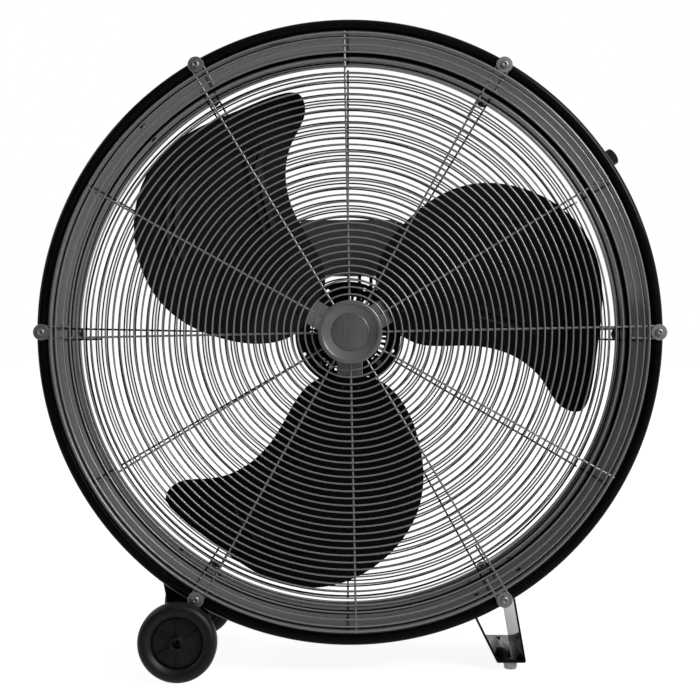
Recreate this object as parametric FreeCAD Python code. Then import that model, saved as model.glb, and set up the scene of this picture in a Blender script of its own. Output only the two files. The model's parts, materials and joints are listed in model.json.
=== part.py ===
import FreeCAD, Part
import math
import os

# Industrial drum fan that stands on two wheels and one leg.
# X runs to the right, Y from the front grille to the rear one, Z up.
# The origin lies on the floor, under the drum axis, half way along the drum.
# All lengths are in millimetres, all angles in degrees.

# Drum
floor_gap = 60.5
drum_depth = 229.0
drum_inner_radius = 423.5
sheet = 1.2
bead_radius = 8.0
bead_roll = 300.0
end_rib_inset = 37.0
end_rib_width = 5.0
end_rib_rise = 1.2
main_rib_inset = 142.0
main_rib_width = 16.0
main_rib_rise = 3.8
rib_crest_share = 0.4

# Wire grilles
screw_count = 6
spoke_count = 12
spoke_wire = 3.0
ring_wire = 2.5
ring_wire_flats = 12
frame_ring_wire = 3.2
frame_ring_gap = 5.3
weld_depth = 0.3
hairpin_bend = 8.6
hairpin_return = 38.0
plain_spoke_overhang = 3.0
front_first_ring = 53.1
front_ring_pitch = 9.95
front_spoke_start = 38.0
rear_first_ring = 53.0
rear_ring_pitch = 8.96
rear_spoke_start = 51.0

# Grille fasteners
screw_radius = 3.0
screw_head_radius = 5.6
screw_head_height = 3.4
screw_recess_radius = 2.4
screw_recess_depth = 1.5
screw_end = 1.0
hole_clearance = 0.3
washer_radius = 10.5
washer_thickness = 1.5
nut_across_flats = 10.0
nut_height = 5.0

# Badge cap in the middle of the front grille
cap_radius = 44.5
cap_rim_height = 14.7
cap_rim_edge = 1.2
cap_face_radius = 38.6
cap_height = 11.0
cap_wall = 2.5
cap_boss_radius = 6.0
cap_screw_radius = 2.0
badge_radius = 26.6
badge_sheet = 1.0
cap_clamp_radius = 43.0
cap_clamp_sheet = 2.0
cap_screw_head_radius = 4.0
cap_screw_head_height = 2.5

# Fan wheel
fan_plane_y = -35.0
blade_count = 3
first_blade_angle = 30.0
blade_tip_radius = 384.0
blade_sheet = 2.0
blade_root_pitch = 24.0
blade_tip_pitch = 12.0
blade_camber = 14.0
blade_flat_share = 0.33
blade_flat_start_share = 0.12
arm_width = 40.0
arm_sheet = 3.0
arm_reach = 120.0
hub_radius = 20.0
hub_front = 27.0
hub_back = 21.0
hub_disc_radius = 36.0
hub_disc_sheet = 4.0
rivet_radius = 2.5
rivet_head_radius = 4.5
rivet_head_height = 1.6
rivet_inset = 12.0
rivet_row_pitch = 27.0
rivet_side = 13.0
set_screw_radius = 3.0
set_screw_inset = 9.0
set_screw_socket_radius = 1.5
set_screw_socket_depth = 3.0

# Blade outline seen from the front, from the inner leading corner round the tip to the inner
# trailing corner, as shares of the tip radius: outwards, and to the side the blade trails.
blade_outline_shares = [
    (0.171, -0.108), (0.206, -0.164), (0.306, -0.234), (0.412, -0.296), (0.531, -0.420),
    (0.579, -0.562), (0.609, -0.705), (0.650, -0.735), (0.722, -0.687), (0.814, -0.557),
    (0.930, -0.377), (0.987, -0.163), (0.948, 0.008), (0.844, 0.152), (0.707, 0.245),
    (0.565, 0.277), (0.407, 0.259), (0.278, 0.209), (0.185, 0.123), (0.166, 0.072),
]
# Blade sections, as shares: radius over tip radius, twist from root to tip, camber.
blade_section_shares = [
    (blade_flat_start_share, 0.0, 0.0), (blade_flat_share, 0.0, 0.0), (0.55, 0.33, 0.7),
    (0.78, 0.67, 1.0), (1.05, 1.0, 1.0),
]
blade_chord_reach_share = 0.80

# Motor
motor_radius = 46.0
motor_front_y = -2.0
shield_wall = 4.0
shield_side_wall = 3.0
shield_chamfer = 4.0
stack_setback = 28.0
stack_length = 58.0
stack_bore = 27.5
air_gap = 0.5
rotor_inset = 2.0
winding_inner = 29.0
winding_outer = 37.0
winding_overhang = 14.0
shaft_radius = 7.5
shaft_nose = 4.0
shaft_hole_radius = 9.0
bearing_radius = 17.5
bearing_width = 11.0
bearing_boss_wall = 4.5
bearing_lip = 2.0
running_clearance = 0.05
shield_vent_count = 16
shield_vent_start = 25.0
shield_vent_length = 11.0
shield_vent_width = 4.0
tie_bolt_count = 4
tie_bolt_angle = 47.2
tie_bolt_circle = 40.5
tie_bolt_radius = 2.0
tie_bolt_head_radius = 3.6
tie_bolt_head_height = 3.0
tie_nut_across_flats = 7.0
tie_nut_height = 3.2

# Motor mount on the rear grille
mount_plate_radius = 84.0
mount_plate_sheet = 3.0
mount_plate_hole = 20.0
vent_group_count = 4
vent_group_angle = 45.8
vent_slot_count = 6
vent_slot_step_angle = 8.3
vent_slot_start = 52.0
vent_slot_length = 9.0
vent_slot_width = 3.8
lightening_hole_count = 8
lightening_hole_angle = 24.7
lightening_hole_circle = 76.0
lightening_hole_radius = 2.6
mount_bolt_count = 4
mount_bolt_angle = 47.2
clamp_strip_width = 16.0
clamp_strip_sheet = 2.5
clamp_strip_overhang = 4.0
mount_bolt_head_height = 4.0

# Terminal box on the rear grille, over the motor
box_width = 148.0
box_bottom_rise = 92.0
box_height = 86.0
box_depth = 40.0
box_wall = 1.5
box_ear_width = 12.0
box_ear_height = 16.0
box_screw_radius = 2.0
box_screw_head_radius = 8.0
box_screw_head_height = 2.4
box_screw_inset = 14.0
box_screw_ring_count = 13
capacitor_radius = 16.0
capacitor_length = 72.0
capacitor_shift = 22.0
lead_radius = 2.6
lead_spacing = 18.0
lead_offset = 27.0
lead_setback = 12.0

# Speed switch on the outside of the drum
switch_angle = 33.85
switch_y = -20.0
switch_box_width = 56.0
switch_box_depth = 64.0
switch_box_height = 24.0
switch_box_wall = 2.0
switch_cover_sheet = 2.0
switch_body_radius = 16.0
switch_body_height = 15.0
spindle_radius = 3.0
spindle_hole_clearance = 0.4
knob_radius = 13.0
knob_top_radius = 10.8
knob_height = 21.0
knob_lift = 2.0
knob_grip = 9.0
knob_pointer_width = 2.0
knob_pointer_depth = 1.0
knob_cap_wall = 3.0
cover_screw_radius = 1.5
cover_screw_head_radius = 2.8
cover_screw_head_height = 1.8
cover_screw_length = 8.0
cover_screw_inset = 6.0
gland_radius = 9.0
gland_bore = 4.5
gland_flange = 5.0
gland_length = 20.0
gland_nut_radius = 7.6

# Carrying handle on the outside of the drum
handle_angle = 135.0
handle_span = 115.0
handle_foot = 20.0
handle_width = 26.0
handle_sheet = 4.0
handle_gap = 24.5
handle_slope = 9.0
handle_screw_radius = 2.5
handle_screw_head_radius = 5.0
handle_screw_head_height = 2.5
handle_nut_across_flats = 8.0
handle_nut_height = 4.0

# Wheels, axle and wheel brackets
wheel_radius = 55.0
wheel_width = 28.0
wheel_x = -239.0
wheel_y = 133.5
wheel_seat_radius = 36.0
wheel_seat_width = 20.0
tyre_bevel = 7.0
tyre_shoulder = 8.0
tyre_tread_width = 10.0
wheel_web = 8.0
wheel_rib_count = 6
wheel_rib_width = 2.0
wheel_rib_height = 2.0
wheel_boss_radius = 9.5
hub_recess_radius = 6.6
hub_recess_depth = 16.0
axle_radius = 5.0
axle_end = 1.5
axle_bore = 3.4
axle_bore_depth = 14.0
wheel_side_play = 0.5
axle_clip_radius = 6.3
axle_clip_sheet = 1.6
spacer_radius = 9.0
bracket_y = 77.0
bracket_sheet = 2.5
bracket_flange = 24.0
bracket_start_angle = 230.0
bracket_end_angle = 244.0
bracket_boss_radius = 13.0
bracket_sink = 12.0
bracket_rivet_inset = 2.2

# Leg and feet
leg_half_width = 77.0
leg_sheet = 3.0
leg_floor_x = 211.1
leg_floor_width = 41.8
leg_left_angle = -66.4
leg_right_angle = -56.75
leg_flange_angle = 4.6
leg_bend = 3.0
leg_rivet_y = 46.0
foot_height = 11.2
foot_top_radius = 10.4
foot_bottom_radius = 8.9
foot_inset = 14.0
foot_screw_radius = 2.0
foot_screw_head_radius = 3.0
foot_screw_head_height = 0.8
foot_screw_length = 9.0

# One overrun for all through cuts
overrun = 5.0

V = FreeCAD.Vector
X_AXIS = V(1, 0, 0)
Y_AXIS = V(0, 1, 0)
Z_AXIS = V(0, 0, 1)
FULL_TURN = 360.0
FRONT = -1
REAR = 1
SIDES = (FRONT, REAR)

# Places that several pieces share
axis_height = drum_inner_radius + floor_gap
drum_centre = V(0, 0, axis_height)
drum_outer_radius = drum_inner_radius + sheet
rim_y = drum_depth / 2
bead_y = rim_y - bead_radius
screw_circle = drum_inner_radius + bead_radius
screw_angles = [FULL_TURN / screw_count * i for i in range(screw_count)]
hairpin_lean = math.degrees(math.asin(hairpin_bend / screw_circle))
frame_ring_radius = drum_inner_radius - frame_ring_gap
spoke_y = rim_y + spoke_wire / 2
grille_face_y = rim_y + spoke_wire
ring_y = spoke_y + (spoke_wire + ring_wire) / 2 - weld_depth
frame_ring_y = spoke_y + (spoke_wire + frame_ring_wire) / 2 - weld_depth
washer_face_y = grille_face_y + washer_thickness
screw_tip_y = rim_y - bead_radius * 2 - nut_height - screw_end

motor_back_y = rim_y - mount_plate_sheet
stack_front_y = motor_front_y + stack_setback
stack_back_y = stack_front_y + stack_length
ring_back_y = ring_y + ring_wire / 2
strip_back_y = ring_back_y + clamp_strip_sheet
mount_bolt_circle = rear_first_ring + rear_ring_pitch * 3 / 2
box_back_y = rim_y
box_front_y = box_back_y - box_depth
box_bottom = axis_height + box_bottom_rise

switch_top = drum_outer_radius + switch_box_height
cover_top = switch_top + switch_cover_sheet
knob_base = cover_top + knob_lift

axle_centre = V(wheel_x, 0, wheel_radius)
wheel_places = {side: side * wheel_y for side in SIDES}
clip_reach = wheel_width / 2 - hub_recess_depth + wheel_side_play
clip_places = {side: wheel_places[side] + side * clip_reach for side in SIDES}
axle_tips = {side: clip_places[side] + side * (axle_clip_sheet + axle_end) for side in SIDES}
leg_floor_top = foot_height + leg_sheet


def place(radius, angle, y):
    """Point round the drum axis, with the angle counted from +X towards +Z."""
    turn = math.radians(angle)
    return V(radius * math.cos(turn), y, axis_height + radius * math.sin(turn))


def swing(shape, angle):
    """Copy of a shape turned about the drum axis, anticlockwise as seen from the front."""
    turned_copy = shape.copy()
    turned_copy.rotate(drum_centre, -Y_AXIS, angle)
    return turned_copy


def ring_of(shape, count, start=0.0):
    """Copies of a shape spaced evenly round the drum axis."""
    return [swing(shape, start + FULL_TURN / count * i) for i in range(count)]


def rod(start, end, radius):
    """Round bar between two points."""
    run = end - start
    return Part.makeCylinder(radius, run.Length, start, run)


def tube(start, end, outer, inner):
    """Round tube between two points."""
    return rod(start, end, outer).cut(rod(start, end, inner))


def on_axis(y):
    """Point of the drum axis."""
    return V(0, y, axis_height)


def block(low, high):
    """Box between two corners."""
    size = high - low
    return Part.makeBox(size.x, size.y, size.z, low)


def turned(profile, centre):
    """Solid of revolution about the line along Y through centre, from (radius, y) corners."""
    corners = [V(centre.x + radius, y, centre.z) for radius, y in profile]
    face = Part.Face(Part.makePolygon(corners + corners[:1]))
    return face.revolve(centre, Y_AXIS, FULL_TURN)


def plate(corners, y_start, y_end):
    """Plate with an outline in X and Z, between two places along Y."""
    points = [V(x, y_start, z) for x, z in corners]
    face = Part.Face(Part.makePolygon(points + points[:1]))
    return face.extrude(V(0, y_end - y_start, 0))


def hex_nut(start, direction, across_flats, height, bore):
    """Hexagon nut that stands on start, with one flat turned to the drum axis."""
    corner = across_flats / math.sqrt(3)
    side = direction.cross(drum_centre - start)
    side.normalize()
    spread = direction.cross(side)
    spread.normalize()
    points = []
    for i in range(6):
        turn = math.radians(60 * i)
        points.append(start + side * (corner * math.cos(turn)) + spread * (corner * math.sin(turn)))
    body = Part.Face(Part.makePolygon(points + points[:1])).extrude(direction * height)
    return body.cut(rod(start, start + direction * height, bore))


def headed_screw(seat, direction, length, radius, head_radius, head_height):
    """Screw whose head stands on seat and whose shank runs along direction."""
    shank = rod(seat, seat + direction * length, radius)
    top_radius = (head_radius + radius) / 2
    head = Part.makeCone(head_radius, top_radius, head_height, seat, -direction)
    return shank.fuse(head).removeSplitter()


def drum_strap(start_angle, end_angle, y_start, y_end, thickness):
    """Strip of sheet that lies on the outside of the drum."""
    outer = drum_outer_radius + thickness
    corners = [place(radius, start_angle, y) for radius, y in (
        (drum_outer_radius, y_start), (outer, y_start), (outer, y_end), (drum_outer_radius, y_end))]
    face = Part.Face(Part.makePolygon(corners + corners[:1]))
    return face.revolve(drum_centre, -Y_AXIS, end_angle - start_angle)


def drum_core():
    """Everything inside the outer face of the drum sheet, to seat pieces on it."""
    return rod(on_axis(-drum_depth), on_axis(drum_depth), drum_outer_radius)


def seat_radius(head_radius):
    """Distance from the drum axis at which a flat round head meets the inside of the drum."""
    return math.sqrt(drum_inner_radius ** 2 - head_radius ** 2)


def drum_rivet(angle, y, grip):
    """Rivet through the drum sheet and a strap of thickness grip, with a head on both sides."""
    inner = place(seat_radius(rivet_head_radius), angle, y)
    outer = place(drum_outer_radius + grip, angle, y)
    out = outer - inner
    out.normalize()
    shank = rod(inner, outer, rivet_radius)
    outer_head = Part.makeCone(rivet_head_radius, rivet_radius, rivet_head_height, outer, out)
    inner_head = Part.makeCone(rivet_head_radius, rivet_radius, rivet_head_height, inner, -out)
    return shank.fuse([outer_head, inner_head]).removeSplitter()


def drum_rivet_hole(angle, y):
    """Cutter for a rivet hole through the drum and what lies on it."""
    return rod(place(drum_inner_radius - overrun, angle, y),
               place(drum_outer_radius + bead_radius, angle, y), rivet_radius)


# Drum shell with rolled edges and pressed ribs

def rib_points(centre, width, rise):
    """Corners of a rib pressed into the sheet, as (y, rise towards the axis)."""
    half = width / 2
    crest = half * rib_crest_share
    return [(centre - half, 0), (centre - crest, rise), (centre + crest, rise), (centre + half, 0)]


def rolled_edge(side):
    """Edge of the sheet rolled outwards into an open bead."""
    skin = bead_radius - sheet

    def at(radius, turn):
        angle = math.radians(turn)
        return V(screw_circle - radius * math.cos(angle),
                 side * (bead_y + radius * math.sin(angle)), axis_height)

    outer = Part.Arc(at(bead_radius, 0), at(bead_radius, bead_roll / 2), at(bead_radius, bead_roll))
    inner = Part.Arc(at(skin, bead_roll), at(skin, bead_roll / 2), at(skin, 0))
    tip = Part.makeLine(at(bead_radius, bead_roll), at(skin, bead_roll))
    root = Part.makeLine(at(skin, 0), at(bead_radius, 0))
    face = Part.Face(Part.Wire([outer.toShape(), tip, inner.toShape(), root]))
    return face.revolve(drum_centre, Y_AXIS, FULL_TURN)


def handle_screw_places():
    """Places of the two handle screws along the drum."""
    return [side * handle_span / 2 for side in SIDES]


def bracket_rivet_places():
    """Angle and y of every wheel bracket rivet."""
    middle = bracket_y - bracket_flange / 2
    angles = (bracket_start_angle + bracket_rivet_inset, bracket_end_angle - bracket_rivet_inset)
    return [(angle, side * middle) for side in SIDES for angle in angles]


def leg_rivet_places():
    """Angle and y of every leg rivet."""
    reach = leg_flange_angle / 2
    angles = (leg_left_angle + reach, leg_right_angle + reach)
    return [(angle, side * leg_rivet_y) for side in SIDES for angle in angles]


def drum_shell():
    line = [(-bead_y, 0)]
    line += rib_points(-rim_y + end_rib_inset, end_rib_width, end_rib_rise)
    line += rib_points(-rim_y + main_rib_inset, main_rib_width, main_rib_rise)
    line += rib_points(rim_y - end_rib_inset, end_rib_width, end_rib_rise)
    line.append((bead_y, 0))
    inner = [(drum_inner_radius - rise, y) for y, rise in line]
    outer = [(radius + sheet, y) for radius, y in inner]
    shell = turned(inner + outer[::-1], drum_centre)
    shell = shell.fuse([rolled_edge(side) for side in SIDES]).removeSplitter()
    hole = screw_radius + hole_clearance
    cutters = []
    for side in SIDES:
        for angle in screw_angles:
            cutters.append(rod(place(screw_circle, angle, side * (rim_y + overrun)),
                               place(screw_circle, angle, side * screw_tip_y), hole))
    for angle, y in bracket_rivet_places() + leg_rivet_places():
        cutters.append(drum_rivet_hole(angle, y))
    for y in handle_screw_places():
        cutters.append(rod(place(drum_inner_radius - overrun, handle_angle, y),
                           place(drum_outer_radius + overrun, handle_angle, y), handle_screw_radius))
    return shell.cut(cutters)


# Wire grilles

def wire_ring(radius, thickness, y):
    """Ring of wire round the drum axis, its round section drawn with a few flats."""
    half = thickness / 2
    turns = [math.radians(FULL_TURN / ring_wire_flats * i) for i in range(ring_wire_flats)]
    section = [(radius + half * math.sin(turn), y + half * math.cos(turn)) for turn in turns]
    return turned(section, drum_centre)


def grille_rings(side, first, pitch):
    """Rings of one grille, with the thick frame ring outside them."""
    count = math.floor((frame_ring_radius - first) / pitch) + 1
    wires = []
    for i in range(count):
        radius = first + pitch * i
        if frame_ring_radius - radius > pitch / 2:
            wires.append(wire_ring(radius, ring_wire, side * ring_y))
    wires.append(wire_ring(frame_ring_radius, frame_ring_wire, side * frame_ring_y))
    return Part.makeCompound(wires)


def hairpin_spoke(angle, side, start):
    """Spoke that runs out beside a screw, bends round it and comes back to a ring."""
    lean = -side * hairpin_lean
    y = side * spoke_y
    bend = screw_circle * math.cos(math.radians(hairpin_lean))
    inner = place(start, angle + lean, y)
    bend_start = place(bend, angle + lean, y)
    bend_top = place(screw_circle + hairpin_bend, angle, y)
    bend_end = place(bend, angle - lean, y)
    back = place(screw_circle - hairpin_return, angle - lean, y)
    path = Part.Wire([Part.makeLine(inner, bend_start),
                      Part.Arc(bend_start, bend_top, bend_end).toShape(),
                      Part.makeLine(bend_end, back)])
    section = Part.Wire(Part.makeCircle(spoke_wire / 2, inner, bend_start - inner))
    return path.makePipeShell([section], True, False)


def grille_spokes(side, start):
    """Spokes of one grille: hairpins at the screws, plain ones between them, which lean in front only."""
    wires = [hairpin_spoke(angle, side, start) for angle in screw_angles]
    half_step = FULL_TURN / spoke_count
    lean = hairpin_lean if side == FRONT else 0
    for screw_angle in screw_angles:
        angle = screw_angle + half_step + lean
        wires.append(rod(place(start, angle, side * spoke_y),
                         place(frame_ring_radius + plain_spoke_overhang, angle, side * spoke_y),
                         spoke_wire / 2))
    return Part.makeCompound(wires)


def grille_screw(angle, side):
    """Pan head screw through the washer, the rolled edge and the nut."""
    seat = place(screw_circle, angle, side * washer_face_y)
    inwards = Y_AXIS * -side
    screw = headed_screw(seat, inwards, washer_face_y - screw_tip_y,
                         screw_radius, screw_head_radius, screw_head_height)
    top = seat - inwards * screw_head_height
    recess = rod(top, top + inwards * screw_recess_depth, screw_recess_radius)
    return screw.cut(recess)


def grille_screws():
    return Part.makeCompound([grille_screw(angle, side) for side in SIDES for angle in screw_angles])


def grille_washers():
    hole = screw_radius + hole_clearance
    return Part.makeCompound([
        tube(place(screw_circle, angle, side * grille_face_y),
             place(screw_circle, angle, side * washer_face_y), washer_radius, hole)
        for side in SIDES for angle in screw_angles])


def hex_nuts():
    """Nuts of the grille screws and of the motor mount bolts."""
    nut_y = rim_y - bead_radius * 2
    nuts = [hex_nut(place(screw_circle, angle, side * nut_y), Y_AXIS * -side,
                    nut_across_flats, nut_height, screw_radius)
            for side in SIDES for angle in screw_angles]
    mount_nut = hex_nut(place(mount_bolt_circle, 0, strip_back_y), Y_AXIS, nut_across_flats, nut_height,
                        screw_radius)
    return Part.makeCompound(nuts + ring_of(mount_nut, mount_bolt_count, mount_bolt_angle))


# Badge cap

def badge_cap():
    """Cap with a raised band round a dished face, a seat for the badge and a screw boss behind."""
    seat = cap_height - badge_sheet
    roof = seat - cap_wall
    inner = cap_face_radius - cap_wall
    band = cap_rim_height - cap_rim_edge
    outline = [
        (cap_screw_radius, 0), (cap_boss_radius, 0), (cap_boss_radius, roof), (inner, roof),
        (inner, 0), (cap_radius, 0), (cap_radius, band), (cap_radius - cap_rim_edge, cap_rim_height),
        (cap_face_radius + cap_rim_edge, cap_rim_height), (cap_face_radius, band),
        (badge_radius, cap_height), (badge_radius, seat),
        (0, seat), (0, roof), (cap_screw_radius, roof),
    ]
    return turned([(radius, -(grille_face_y + rise)) for radius, rise in outline], drum_centre)


def badge_plate():
    seat = grille_face_y + cap_height - badge_sheet
    return rod(on_axis(-seat), on_axis(-seat - badge_sheet), badge_radius)


def cap_clamp():
    """Disc behind the spokes that the cap is screwed to."""
    back = rim_y - cap_clamp_sheet
    return tube(on_axis(-rim_y), on_axis(-back), cap_clamp_radius, cap_screw_radius)


def cap_screw():
    back = rim_y - cap_clamp_sheet
    length = grille_face_y - back + cap_height - badge_sheet - cap_wall
    return headed_screw(on_axis(-back), -Y_AXIS, length, cap_screw_radius,
                        cap_screw_head_radius, cap_screw_head_height)


# Fan wheel, modelled with one blade along +X and then swung into place

def tilted(shape):
    """Turn a piece about the blade line by the pitch that the blade root has."""
    shape.rotate(on_axis(fan_plane_y), X_AXIS, blade_root_pitch)
    return shape


def rivet_points():
    """Rivet places on one arm, as (radius, side)."""
    rows = [arm_reach - rivet_inset - rivet_row_pitch * i for i in range(2)]
    return [(radius, side * rivet_side) for radius in rows for side in SIDES]


def rivet_holes():
    cutters = []
    for radius, side in rivet_points():
        foot = V(radius, fan_plane_y, axis_height + side)
        reach = Y_AXIS * (arm_sheet + blade_sheet)
        cutters.append(tilted(rod(foot - reach, foot + reach, rivet_radius)))
    return cutters


def blade_section(radius, pitch, camber):
    """Closed section of the blade sheet at one radius, bent back by camber in the middle."""
    reach = blade_tip_radius * blade_chord_reach_share
    turn = math.radians(pitch)
    along = V(0, -math.sin(turn), math.cos(turn))
    back = V(0, math.cos(turn), math.sin(turn))
    root = V(radius, fan_plane_y, axis_height)
    start = root - along * reach
    end = root + along * reach
    thick = back * -blade_sheet
    if camber > 0:
        middle = root + back * camber
        lower = Part.Arc(start, middle, end).toShape()
        upper = Part.Arc(end + thick, middle + thick, start + thick).toShape()
    else:
        lower = Part.makeLine(start, end)
        upper = Part.makeLine(end + thick, start + thick)
    sides = [Part.makeLine(end, end + thick), Part.makeLine(start + thick, start)]
    return Part.Wire([lower, sides[0], upper, sides[1]])


def blade():
    """Twisted and cambered sheet, cut to the outline of the blade."""
    twist = blade_tip_pitch - blade_root_pitch
    sections = [blade_section(radius * blade_tip_radius, blade_root_pitch + twist * turn,
                              camber * blade_camber)
                for radius, turn, camber in blade_section_shares]
    skin = Part.makeLoft(sections, True, True)
    front = fan_plane_y - blade_tip_radius
    points = [V(out * blade_tip_radius, front, axis_height + side * blade_tip_radius)
              for out, side in blade_outline_shares]
    edge = Part.BSplineCurve()
    edge.interpolate(points)
    outline = Part.Wire([edge.toShape(), Part.makeLine(points[-1], points[0])])
    prism = Part.Face(outline).extrude(Y_AXIS * (blade_tip_radius * 2))
    return skin.common(prism).cut(rivet_holes())


def blade_angle(i):
    return first_blade_angle + FULL_TURN / blade_count * i


def fan_hub():
    """Boss on the shaft with a disc and one tilted arm behind each blade."""
    boss = rod(on_axis(fan_plane_y - hub_front), on_axis(fan_plane_y + hub_back), hub_radius)
    disc = rod(on_axis(fan_plane_y), on_axis(fan_plane_y + hub_disc_sheet), hub_disc_radius)
    arm = tilted(block(V(shaft_radius, fan_plane_y, axis_height - arm_width / 2),
                       V(arm_reach, fan_plane_y + arm_sheet, axis_height + arm_width / 2)))
    arm = arm.cut(rivet_holes())
    arms = [swing(arm, blade_angle(i)) for i in range(blade_count)]
    bore = rod(on_axis(fan_plane_y - blade_tip_radius), on_axis(fan_plane_y + blade_tip_radius),
               shaft_radius)
    screw_y = fan_plane_y - hub_front + set_screw_inset
    thread = rod(on_axis(screw_y), V(0, screw_y, axis_height + hub_radius + overrun), set_screw_radius)
    return boss.fuse([disc] + arms).cut([bore, thread]).removeSplitter()


def hub_set_screw():
    screw_y = fan_plane_y - hub_front + set_screw_inset
    top = V(0, screw_y, axis_height + hub_radius)
    screw = rod(V(0, screw_y, axis_height + shaft_radius), top, set_screw_radius)
    return screw.cut(rod(top - Z_AXIS * set_screw_socket_depth, top, set_screw_socket_radius))


def blade_rivets():
    rivets = []
    for radius, side in rivet_points():
        foot = V(radius, fan_plane_y, axis_height + side)
        front = foot - Y_AXIS * blade_sheet
        back = foot + Y_AXIS * arm_sheet
        shank = rod(front, back, rivet_radius)
        heads = [Part.makeCone(rivet_head_radius, rivet_radius, rivet_head_height, front, -Y_AXIS),
                 Part.makeCone(rivet_head_radius, rivet_radius, rivet_head_height, back, Y_AXIS)]
        rivets.append(tilted(shank.fuse(heads).removeSplitter()))
    return Part.makeCompound([swing(rivet, blade_angle(i)) for i in range(blade_count) for rivet in rivets])


# Motor

def motor_shield(face_y, inwards):
    """End shield of the motor: a vented cup with a bearing seat, its face at face_y."""
    depth = stack_setback if inwards > 0 else motor_back_y - stack_back_y
    boss = bearing_radius + bearing_boss_wall
    boss_depth = bearing_lip + bearing_width
    cavity = motor_radius - shield_side_wall
    outline = [
        (shaft_hole_radius, 0), (motor_radius - shield_chamfer, 0), (motor_radius, shield_chamfer),
        (motor_radius, depth), (cavity, depth), (cavity, shield_wall), (boss, shield_wall),
        (boss, boss_depth), (bearing_radius, boss_depth), (bearing_radius, bearing_lip),
        (shaft_hole_radius, bearing_lip),
    ]
    cup = turned([(radius, face_y + inwards * rise) for radius, rise in outline], drum_centre)
    vent = block(V(shield_vent_start, face_y - overrun, axis_height - shield_vent_width / 2),
                 V(shield_vent_start + shield_vent_length, face_y + overrun,
                   axis_height + shield_vent_width / 2))
    bolt = rod(place(tie_bolt_circle, 0, face_y - overrun), place(tie_bolt_circle, 0, face_y + overrun),
               tie_bolt_radius)
    return cup.cut(ring_of(vent, shield_vent_count) + ring_of(bolt, tie_bolt_count, tie_bolt_angle))


def stator_stack():
    stack = tube(on_axis(stack_front_y), on_axis(stack_back_y), motor_radius, stack_bore)
    bolt = rod(place(tie_bolt_circle, 0, stack_front_y), place(tie_bolt_circle, 0, stack_back_y),
               tie_bolt_radius)
    return stack.cut(ring_of(bolt, tie_bolt_count, tie_bolt_angle))


def stator_windings():
    front = stack_front_y - winding_overhang
    back = stack_back_y + winding_overhang
    return Part.makeCompound([
        tube(on_axis(front), on_axis(stack_front_y), winding_outer, winding_inner),
        tube(on_axis(stack_back_y), on_axis(back), winding_outer, winding_inner)])


def rotor():
    return tube(on_axis(stack_front_y + rotor_inset), on_axis(stack_back_y - rotor_inset),
                stack_bore - air_gap, shaft_radius)


def motor_shaft():
    front = fan_plane_y - hub_front - shaft_nose
    return rod(on_axis(front), on_axis(motor_back_y - bearing_lip), shaft_radius)


def bearing(start):
    return tube(on_axis(start), on_axis(start + bearing_width), bearing_radius,
                shaft_radius + running_clearance)


def front_bearing():
    return bearing(motor_front_y + bearing_lip)


def rear_bearing():
    return bearing(motor_back_y - bearing_lip - bearing_width)


def tie_bolts():
    """Long bolts that hold the motor together and to the mount plate."""
    seat = place(tie_bolt_circle, 0, motor_front_y)
    length = rim_y + tie_nut_height - motor_front_y
    bolt = headed_screw(seat, Y_AXIS, length, tie_bolt_radius, tie_bolt_head_radius,
                        tie_bolt_head_height)
    return Part.makeCompound(ring_of(bolt, tie_bolt_count, tie_bolt_angle))


def tie_bolt_nuts():
    nut = hex_nut(place(tie_bolt_circle, 0, rim_y), Y_AXIS, tie_nut_across_flats, tie_nut_height,
                  tie_bolt_radius)
    return Part.makeCompound(ring_of(nut, tie_bolt_count, tie_bolt_angle))


# Motor mount

def motor_mount_plate():
    """Disc between the motor and the rear grille, with groups of vent slots."""
    disc = tube(on_axis(motor_back_y), on_axis(rim_y), mount_plate_radius, mount_plate_hole)
    low = motor_back_y - overrun
    high = rim_y + overrun
    slot = block(V(vent_slot_start, low, axis_height - vent_slot_width / 2),
                 V(vent_slot_start + vent_slot_length, high, axis_height + vent_slot_width / 2))
    slots = [vent for i in range(vent_slot_count)
             for vent in ring_of(slot, vent_group_count, vent_group_angle + vent_slot_step_angle * i)]
    hole = rod(place(lightening_hole_circle, 0, low), place(lightening_hole_circle, 0, high),
               lightening_hole_radius)
    tie = rod(place(tie_bolt_circle, 0, low), place(tie_bolt_circle, 0, high), tie_bolt_radius)
    bolt = rod(place(mount_bolt_circle, 0, low), place(mount_bolt_circle, 0, high), screw_radius)
    return disc.cut(slots
                    + ring_of(hole, lightening_hole_count, lightening_hole_angle)
                    + ring_of(tie, tie_bolt_count, tie_bolt_angle)
                    + ring_of(bolt, mount_bolt_count, mount_bolt_angle))


def mount_clamp_strips():
    """Strips behind the rear rings, one under each mount bolt."""
    reach = rear_ring_pitch / 2 + ring_wire + clamp_strip_overhang
    strip = block(V(mount_bolt_circle - reach, ring_back_y, axis_height - clamp_strip_width / 2),
                  V(mount_bolt_circle + reach, strip_back_y, axis_height + clamp_strip_width / 2))
    strip = strip.cut(rod(place(mount_bolt_circle, 0, ring_back_y), place(mount_bolt_circle, 0, strip_back_y),
                          screw_radius))
    return Part.makeCompound(ring_of(strip, mount_bolt_count, mount_bolt_angle))


def mount_bolts():
    seat = place(mount_bolt_circle, 0, motor_back_y)
    bolt = headed_screw(seat, Y_AXIS, strip_back_y + nut_height - motor_back_y,
                        screw_radius, screw_head_radius, mount_bolt_head_height)
    return Part.makeCompound(ring_of(bolt, mount_bolt_count, mount_bolt_angle))


# Terminal box

def box_screw_places():
    """Places of the box screws, between two rings of the rear grille."""
    half = box_width / 2 - box_screw_inset
    circle = rear_first_ring + rear_ring_pitch * box_screw_ring_count + rear_ring_pitch / 2
    rise = math.sqrt(circle ** 2 - half ** 2)
    return [V(side * half, box_back_y, axis_height + rise) for side in SIDES]


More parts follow.
